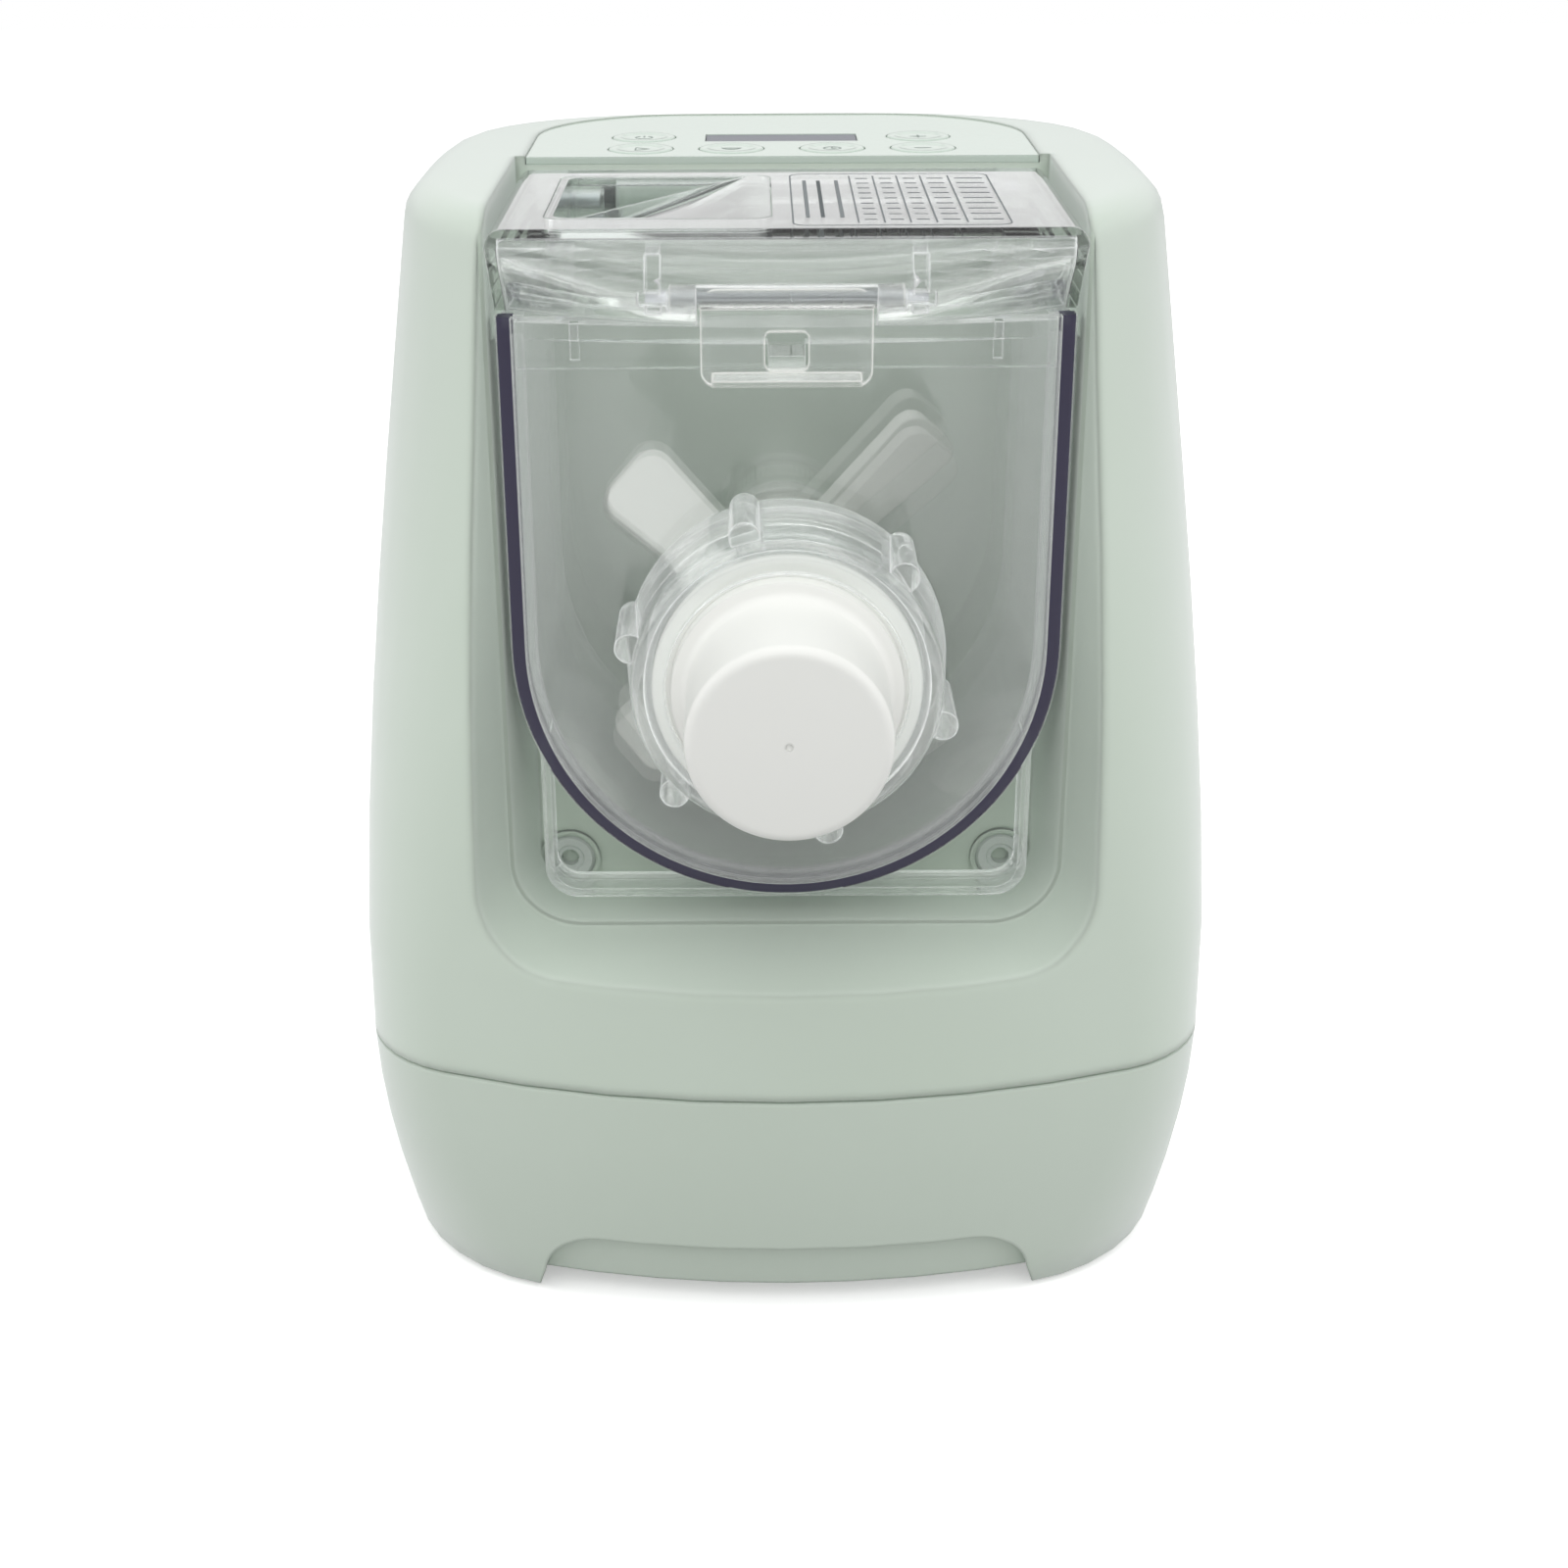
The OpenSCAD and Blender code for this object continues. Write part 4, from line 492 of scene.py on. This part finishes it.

# %% [markdown]
# ## Clear plastics
# The bowl, the lid, its front wall and basin, the latch, the front plate and the
# nut are clear. The bowl, the lid and its front wall take on a violet tint where a
# wall turns away from the eye. Four things make such plastic readable. Part of the
# light goes straight through, as in a thin wall, and the rest is bent, as in glass.
# The thin wall has a skin that mirrors the room. Light from the lamps and from matt
# surfaces goes straight through, so that what lies behind stays lit. And edges glow,
# because light that is caught in a wall leaves it there: a mask that compares a
# rounded normal with the true one paints a pale highlight on them, with a little
# light of its own, and a fainter painted highlight lies where a wall turns away.

# %% Clear plastics
PLASTIC_IOR = 1.36
PLASTIC_ROUGHNESS = 0.02
SKIN_IOR = 1.5
SKIN_ROUGHNESS = 0.025
STRAIGHT_TINT = (0.97, 0.978, 0.974, 1)
TURN_POWER = 6
# how quickly the painted highlight on turned-away walls fades towards a square-on view
GRAZING_HIGHLIGHT_POWER = 4
EDGE_COVER = 0.9
EDGE_GLOW = 0.22
WAVE_PER_M = 45
WAVE_STRENGTH = 0.03
WAVE_DEPTH = 0.0004


def edge_mask(f, radius_mm, gain):
    """1 along the sharp edges of a piece and 0 on its faces."""
    rounded = f.add("ShaderNodeBevel", {"samples": 8}, {"Radius": radius_mm * MM})
    true = f.add("ShaderNodeNewGeometry", None, None, "True Normal")
    same = f.add("ShaderNodeVectorMath", {"operation": "DOT_PRODUCT"},
                 {0: rounded, 1: true}, "Value")
    return ((1 - same) * gain).limited(), rounded


def see_through(f, tint, normal, straight_share, gloss_gain):
    """Glass mixed with a thin wall that has a mirror skin.

    Shadow and diffuse rays, which carry the light of lamps and of matt surfaces,
    always go straight through.
    """
    glass = f.add("ShaderNodeBsdfPrincipled", None, {
        "Base Color": tint, "Roughness": PLASTIC_ROUGHNESS, "IOR": PLASTIC_IOR,
        "Transmission Weight": 1.0, "Normal": normal})
    straight = f.add("ShaderNodeBsdfTransparent", None, {"Color": STRAIGHT_TINT})
    mirror = f.add("ShaderNodeBsdfGlossy", None, {
        "Color": WHITE_LIGHT, "Roughness": SKIN_ROUGHNESS, "Normal": normal})
    gloss = f.add("ShaderNodeFresnel", None, {"IOR": SKIN_IOR, "Normal": normal})
    wall = f.add("ShaderNodeMixShader", None, {
        0: (gloss * gloss_gain).limited(), 1: straight, 2: mirror})
    thin = f.add("ShaderNodeMixShader", None, {0: straight_share, 1: glass, 2: wall})
    shadow, diffuse = ray_masks(f)[3:]
    unbent = (shadow + diffuse).limited()
    return f.add("ShaderNodeMixShader", None, {0: unbent, 1: thin, 2: straight})


def clear_plastic(name, face, turned, edge, share, edge_mm=0.5, edge_gain=1.6, haze=0.35,
                  gloss=1.7):
    """The finish and last shader of a clear plastic.

    face is its colour seen square on, turned where it turns away, and edge that of
    the highlight painted on its edges, with a faint glow of its own; a fainter
    painted highlight lies where a wall turns away. share is how much of it acts as a
    thin, straight wall.
    """
    f = new_finish(name)
    facing = f.add("ShaderNodeLayerWeight", None, {"Blend": 0.5}, "Facing")
    slow = f.grain(WAVE_PER_M, 1.0)
    mask, rounded = edge_mask(f, edge_mm, edge_gain)
    relief = f.bump(slow, WAVE_STRENGTH, WAVE_DEPTH, rounded)
    tone = f.mixed(facing ** TURN_POWER, face, turned)
    body = see_through(f, tone, relief, share, gloss)
    # painted highlight, pale and faintly glowing, along sharp edges and on turned-away walls
    rim = f.add("ShaderNodeBsdfPrincipled", None, {
        "Base Color": edge, "Roughness": 0.2 + slow * 0.1, "Normal": relief,
        "Emission Color": edge, "Emission Strength": EDGE_GLOW})
    lit = (mask + facing ** GRAZING_HIGHLIGHT_POWER * haze).limited() * EDGE_COVER
    return f, f.add("ShaderNodeMixShader", None, {0: lit, 1: body, 2: rim})


mouth_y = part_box("mixing_bowl")[0].y
axis_z = (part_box("lock_nut")[0].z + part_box("lock_nut")[1].z) / 2
RIM_DEPTH = 4.2 * MM
RIM_OUTER_R = 63.2 * MM
RIM_INNER_R = 59.8 * MM
RIM_BLUR = 0.1 * MM
RIM_FADE = 0.3 * MM
RIM_COVER = 0.96


def bowl_rim(f):
    """Mask of the bowl's rim: near the mouth, between two radii of its U shape."""
    x, y, z = f.axes()
    drop = (z - axis_z).math("MINIMUM", z - axis_z, 0.0)
    radius = (x * x + drop * drop) ** 0.5
    inside = radius.below(RIM_OUTER_R, RIM_BLUR) * (1 - radius.below(RIM_INNER_R, RIM_BLUR))
    return inside * y.below(mouth_y + RIM_DEPTH, RIM_FADE) * RIM_COVER


def smoky_bowl():
    """The bowl's clear wall, with a dark band for its rim."""
    f, wall = clear_plastic("smoky_bowl", CLEAR, SMOKE_BOWL, CLEAR_EDGE_HIGHLIGHT, 0.45)
    dark = f.add("ShaderNodeBsdfPrincipled", None, {
        "Base Color": SMOKE_EDGE, "Roughness": 0.3, "Specular IOR Level": 0.3})
    return f.done(f.add("ShaderNodeMixShader", None, {0: bowl_rim(f), 1: wall, 2: dark}))


def finish_clear(*settings, **more):
    """A clear plastic that needs nothing added."""
    f, shader = clear_plastic(*settings, **more)
    return f.done(shader)


wear(["front_plate", "plate_gasket"],
     finish_clear("clear_plate", CLEAR, CLEAR, CLEAR_EDGE_HIGHLIGHT, 0.6, gloss=1.0))
wear(["lid_visor"],
     finish_clear("clear_visor", CLEAR, SMOKE_VISOR, CLEAR_EDGE_HIGHLIGHT, 0.45,
                  edge_mm=0.8, edge_gain=4, haze=0.25, gloss=2.5))
wear(["lid_latch"],
     finish_clear("clear_latch", CLEAR, CLEAR, WHITE, 0.35,
                  edge_mm=1.0, edge_gain=5, haze=0.6))
wear(["lock_nut"],
     finish_clear("clear_nut", CLEAR, CLEAR, CLEAR_EDGE_HIGHLIGHT, 0.45,
                  edge_mm=1.2, haze=0.8, gloss=3.0))
wear(["pour_basin"],
     finish_clear("clear_basin", CLEAR_BASIN, CLEAR, CLEAR_EDGE_HIGHLIGHT, 0.4, haze=0.1))
wear(["lid_shell"],
     finish_clear("smoky_lid", CLEAR, SMOKE_LID, CLEAR_EDGE_HIGHLIGHT, 0.5, haze=0.0, gloss=1.8))
wear(["mixing_bowl"], smoky_bowl())
print("axis of the nozzle:", round(axis_z / MM, 1), "mm up")

# %% [markdown]
# ## White, rubber and metal
# The die and the auger are white, food-safe plastic with a soft gloss, and the gears
# and cases inside have the same skin in other colours. Rubber is matt with a fine
# tooth. Turned and drawn metal shows fine lines, which a noise that is stretched
# along one axis draws in the roughness. Circuit boards show copper under green.


# %% White plastic, rubber and metal
PATCH_PER_M = 25
SKIN_PER_M = 2200
SKIN_DEPTH = 0.00008
PART_EDGE_MM = 0.8
TOOTH_PER_M = 1500
TOOTH_DEPTH = 0.0001
LINES_PER_M = 800
LINE_DEPTH = 0.00005
TRACKS_PER_M = 260
TRACK_DEPTH = 0.00005
LATHE = (1.0, 0.06, 1.0)
SHEET = (1.0, 1.0, 0.06)


def moulded_plastic(name, tone, roughness):
    """Plastic of one colour with a soft gloss and a faint grain."""
    f = new_finish(name)
    slow = f.grain(PATCH_PER_M, 2.0)
    colour = f.mixed(slow * 0.3, tone, darker(tone, 0.96))
    rounded = f.add("ShaderNodeBevel", {"samples": 4}, {"Radius": PART_EDGE_MM * MM})
    relief = f.bump(f.grain(SKIN_PER_M, 2.0), 0.05, SKIN_DEPTH, rounded)
    body = f.add("ShaderNodeBsdfPrincipled", None, {
        "Base Color": colour, "Roughness": roughness + (slow - 0.5) * 0.1,
        "Specular IOR Level": 0.4, "Normal": relief})
    return f.done(body)


def rubber(name, tone):
    """A matt skin with a fine tooth, for rubber and for ink."""
    f = new_finish(name)
    tooth = f.grain(TOOTH_PER_M, 4.0)
    colour = f.mixed(tooth * 0.4, tone, darker(tone, 0.8))
    body = f.add("ShaderNodeBsdfPrincipled", None, {
        "Base Color": colour, "Roughness": 0.6 + tooth * 0.2,
        "Normal": f.bump(tooth, 0.2, TOOTH_DEPTH)})
    return f.done(body)


def metal(name, tone, roughness, stretch):
    """Metal with fine lines along the axis in which stretch is small."""
    f = new_finish(name)
    drawn = f.add("ShaderNodeVectorMath", {"operation": "MULTIPLY"},
                  {0: f.place(), 1: stretch}, "Vector")
    lines = f.add("ShaderNodeTexNoise", None,
                  {"Vector": drawn, "Scale": LINES_PER_M, "Detail": 2.0}, "Fac")
    colour = f.mixed(lines * 0.5, tone, darker(tone, 0.82))
    body = f.add("ShaderNodeBsdfPrincipled", None, {
        "Base Color": colour, "Metallic": 1.0,
        "Roughness": roughness + lines * 0.18, "Normal": f.bump(lines, 0.1, LINE_DEPTH)})
    return f.done(body)


def laminate(name, board, traces):
    """Circuit board: angular patches of copper that show through the green skin."""
    f = new_finish(name)
    cells = f.add("ShaderNodeTexVoronoi", {"distance": "MANHATTAN", "feature": "F1"},
                  {"Vector": f.place(), "Scale": TRACKS_PER_M}, "Distance")
    track = cells.below(0.35, 0.03)
    colour = f.mixed(track, board, traces)
    body = f.add("ShaderNodeBsdfPrincipled", None, {
        "Base Color": colour, "Roughness": 0.35 + track * 0.15,
        "Normal": f.bump(track, 0.1, TRACK_DEPTH)})
    return f.done(body)


wear(["noodle_die"], moulded_plastic("white_die", WHITE, 0.34))
wear(["mixing_auger", "bowl_bush", "cooling_fan"], moulded_plastic("white_parts", WHITE, 0.4))
wear(["output_gear", "idler_gear_lower", "idler_gear_upper"],
     moulded_plastic("acetal", chip(232, 226, 208), 0.45))
wear(["gearbox_case", "gearbox_cover", "interlock_switch", "display_module"],
     moulded_plastic("black_plastic", chip(46, 47, 50), 0.5))
wear(["rubber_feet", "cord_gland", "shaft_seal"], rubber("dark_rubber", chip(58, 59, 61)))
wear(["bowl_catches"], rubber("grey_silicone", chip(205, 212, 207)))
wear(["control_board", "power_board"],
     laminate("green_laminate", chip(28, 92, 60), chip(60, 130, 82)))
wear(["output_shaft", "motor_shaft", "idler_axles", "output_bearings", "rotor_core",
      "shell_screws", "gearbox_screws", "hinge_pins", "latch_pins"],
     metal("turned_steel", chip(196, 198, 202), 0.22, LATHE))
wear(["motor_can", "motor_bracket"], metal("drawn_steel", chip(182, 184, 188), 0.3, SHEET))
wear(["motor_pinion", "motor_bearings"], metal("bronze", chip(198, 164, 104), 0.3, LATHE))
wear(["motor_stator"], metal("windings", chip(184, 118, 70), 0.35, LATHE))
print("finishes:", len(bpy.data.materials))

# %% [markdown]
# ## Thin prints
# Prints are ink a few hundredths of a millimetre thick. Each is drawn as a
# ribbon along a line and given that thickness, so that it is real geometry which
# moves with its key or the lid. The marks are plain signs: no words and no names.

# %% Ribbons for prints
INK_T = 0.04 * MM


def arc_points(centre, radius, start_deg, end_deg, count=24):
    """Points of an arc in the plane of the print."""
    turns = [start_deg + (end_deg - start_deg) * i / count for i in range(count + 1)]
    return [(centre[0] + radius * math.cos(math.radians(t)),
             centre[1] + radius * math.sin(math.radians(t))) for t in turns]


def ribbon(mesh, line, width, z):
    """Adds one flat strip along a line of points at height z."""
    half = width / 2
    pairs = []
    for i, point in enumerate(line):
        before = line[max(i - 1, 0)]
        after = line[min(i + 1, len(line) - 1)]
        along = Vector((after[0] - before[0], after[1] - before[1])).normalized()
        side = Vector((-along.y, along.x)) * half
        pairs.append([mesh.verts.new((point[0] + side.x, point[1] + side.y, z)),
                      mesh.verts.new((point[0] - side.x, point[1] - side.y, z))])
    for (a, b), (c, d) in zip(pairs, pairs[1:]):
        mesh.faces.new((a, b, d, c))


def print_piece(name, lines, width, z, body, material):
    """A print made of ribbons, thick as ink, that rides on a body."""
    mesh = bmesh.new()
    for line in lines:
        ribbon(mesh, line, width, z)
    bmesh.ops.recalc_face_normals(mesh, faces=mesh.faces)
    if mesh.faces[0].normal.z < 0:
        bmesh.ops.reverse_faces(mesh, faces=mesh.faces)
    data = bpy.data.meshes.new(name)
    mesh.to_mesh(data)
    mesh.free()
    piece = bpy.data.objects.new(name, data)
    bpy.context.scene.collection.objects.link(piece)
    thick = piece.modifiers.new("ink", "SOLIDIFY")
    thick.thickness = INK_T
    thick.offset = 1.0
    data.materials.append(material)
    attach(piece, body)


ink_grey = rubber("ink_grey", chip(150, 160, 155))
ink_dark = rubber("ink_dark", chip(120, 126, 128))
print("ink thickness:", INK_T / MM, "mm")

# %% [markdown]
# ## Marks on the keys
# Each key has one small generic sign in its dished face: power, start, a bowl, a
# clock, minus and plus. They lie in the dish, 0.3 mm below the key's rim, and sink
# with the key when it is pressed.

# %% Marks on the keys
DISH_DEPTH = 0.30 * MM
MARK_W = 0.45 * MM
SIGN_R = 2.1 * MM


def key_signs(x, y):
    """Lines of the six signs round the middle of a key, in the order of KEYS."""
    ring = arc_points((x, y), SIGN_R, 120, 420)
    bowl = arc_points((x, y + 0.4 * SIGN_R), SIGN_R, 180, 360)
    across = [(x - SIGN_R, y), (x + SIGN_R, y)]
    upright = [(x, y - SIGN_R), (x, y + SIGN_R)]
    play = [(x - 0.6 * SIGN_R, y - SIGN_R), (x + SIGN_R, y), (x - 0.6 * SIGN_R, y + SIGN_R),
            (x - 0.6 * SIGN_R, y - SIGN_R)]
    brim = [(x - 1.2 * SIGN_R, y + 0.4 * SIGN_R), (x + 1.2 * SIGN_R, y + 0.4 * SIGN_R)]
    stem = [(x, y + 0.3 * SIGN_R), (x, y + 1.2 * SIGN_R)]
    dial = arc_points((x, y), SIGN_R, 0, 360)
    hand = [(x + 0.5 * SIGN_R, y), (x, y), (x, y + 0.7 * SIGN_R)]
    return [[ring, stem], [play], [bowl, brim], [dial, hand], [across], [across, upright]]


for index, key in enumerate(KEYS):
    low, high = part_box(key)
    middle = (low + high) / 2
    print_piece("sign_" + key, key_signs(middle.x, middle.y)[index], MARK_W,
                high.z - DISH_DEPTH, key, ink_grey)
print("signs:", len(KEYS))

# %% [markdown]
# ## Table on the lid
# The right half of the lid carries a faint printed table of amounts. A real one
# has words; here it is bare ruling with tick marks in the same places and tones.

# %% Table on the lid
lid_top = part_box("lid_shell")[1].z
TABLE_X = (1.5 * MM, 48 * MM)
TABLE_Y = (-65 * MM, 1 * MM)
CORNER_R = 3 * MM
RULING_W = 0.4 * MM
TICK_W = 0.9 * MM
# Bars, columns and dash gaps are shares of the table's width, bar ends of its height.
BARS = (0.07, 0.14, 0.23)
BAR_ENDS = (0.14, 0.86)
COLUMNS = (0.30, 0.42, 0.54, 0.66, 0.80)
DASH_GAP = 0.03
ROWS = 9


def table_lines():
    """Border and columns of the table."""
    (x0, x1), (y0, y1) = TABLE_X, TABLE_Y
    r = CORNER_R
    border = (arc_points((x1 - r, y1 - r), r, 0, 90, 6)
              + arc_points((x0 + r, y1 - r), r, 90, 180, 6)
              + arc_points((x0 + r, y0 + r), r, 180, 270, 6)
              + arc_points((x1 - r, y0 + r), r, 270, 360, 6))
    border.append(border[0])
    columns = [[(x0 + (x1 - x0) * c, y0 + r), (x0 + (x1 - x0) * c, y1 - r)] for c in COLUMNS]
    return [border] + columns


def table_ticks():
    """Short dashes in the rows of the table, and three long bars at its left."""
    (x0, x1), (y0, y1) = TABLE_X, TABLE_Y
    width = x1 - x0
    height = y1 - y0
    bars = [[(x0 + width * c, y0 + height * end) for end in BAR_ENDS] for c in BARS]
    edges = COLUMNS + (1.0,)
    dashes = []
    for left, right in zip(edges, edges[1:]):
        for row in range(ROWS):
            y = y0 + height * (row + 1) / (ROWS + 1)
            dashes.append([(x0 + width * (left + DASH_GAP), y),
                           (x0 + width * (right - DASH_GAP), y)])
    return bars + dashes


print_piece("table_ruling", table_lines(), RULING_W, lid_top, "lid", ink_dark)
print_piece("table_ticks", table_ticks(), TICK_W, lid_top, "lid", ink_dark)
print("rows in the table:", ROWS)

# %% [markdown]
# ## Size
# The box of the dressed scene is measured and its height is printed. The prints lie
# on their pieces, so it should differ from the imported model's box by less than a
# millimetre.

# %% Sizes and the end
low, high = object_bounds()
print("height:", round((high.z - low.z) / MM, 1), "mm")
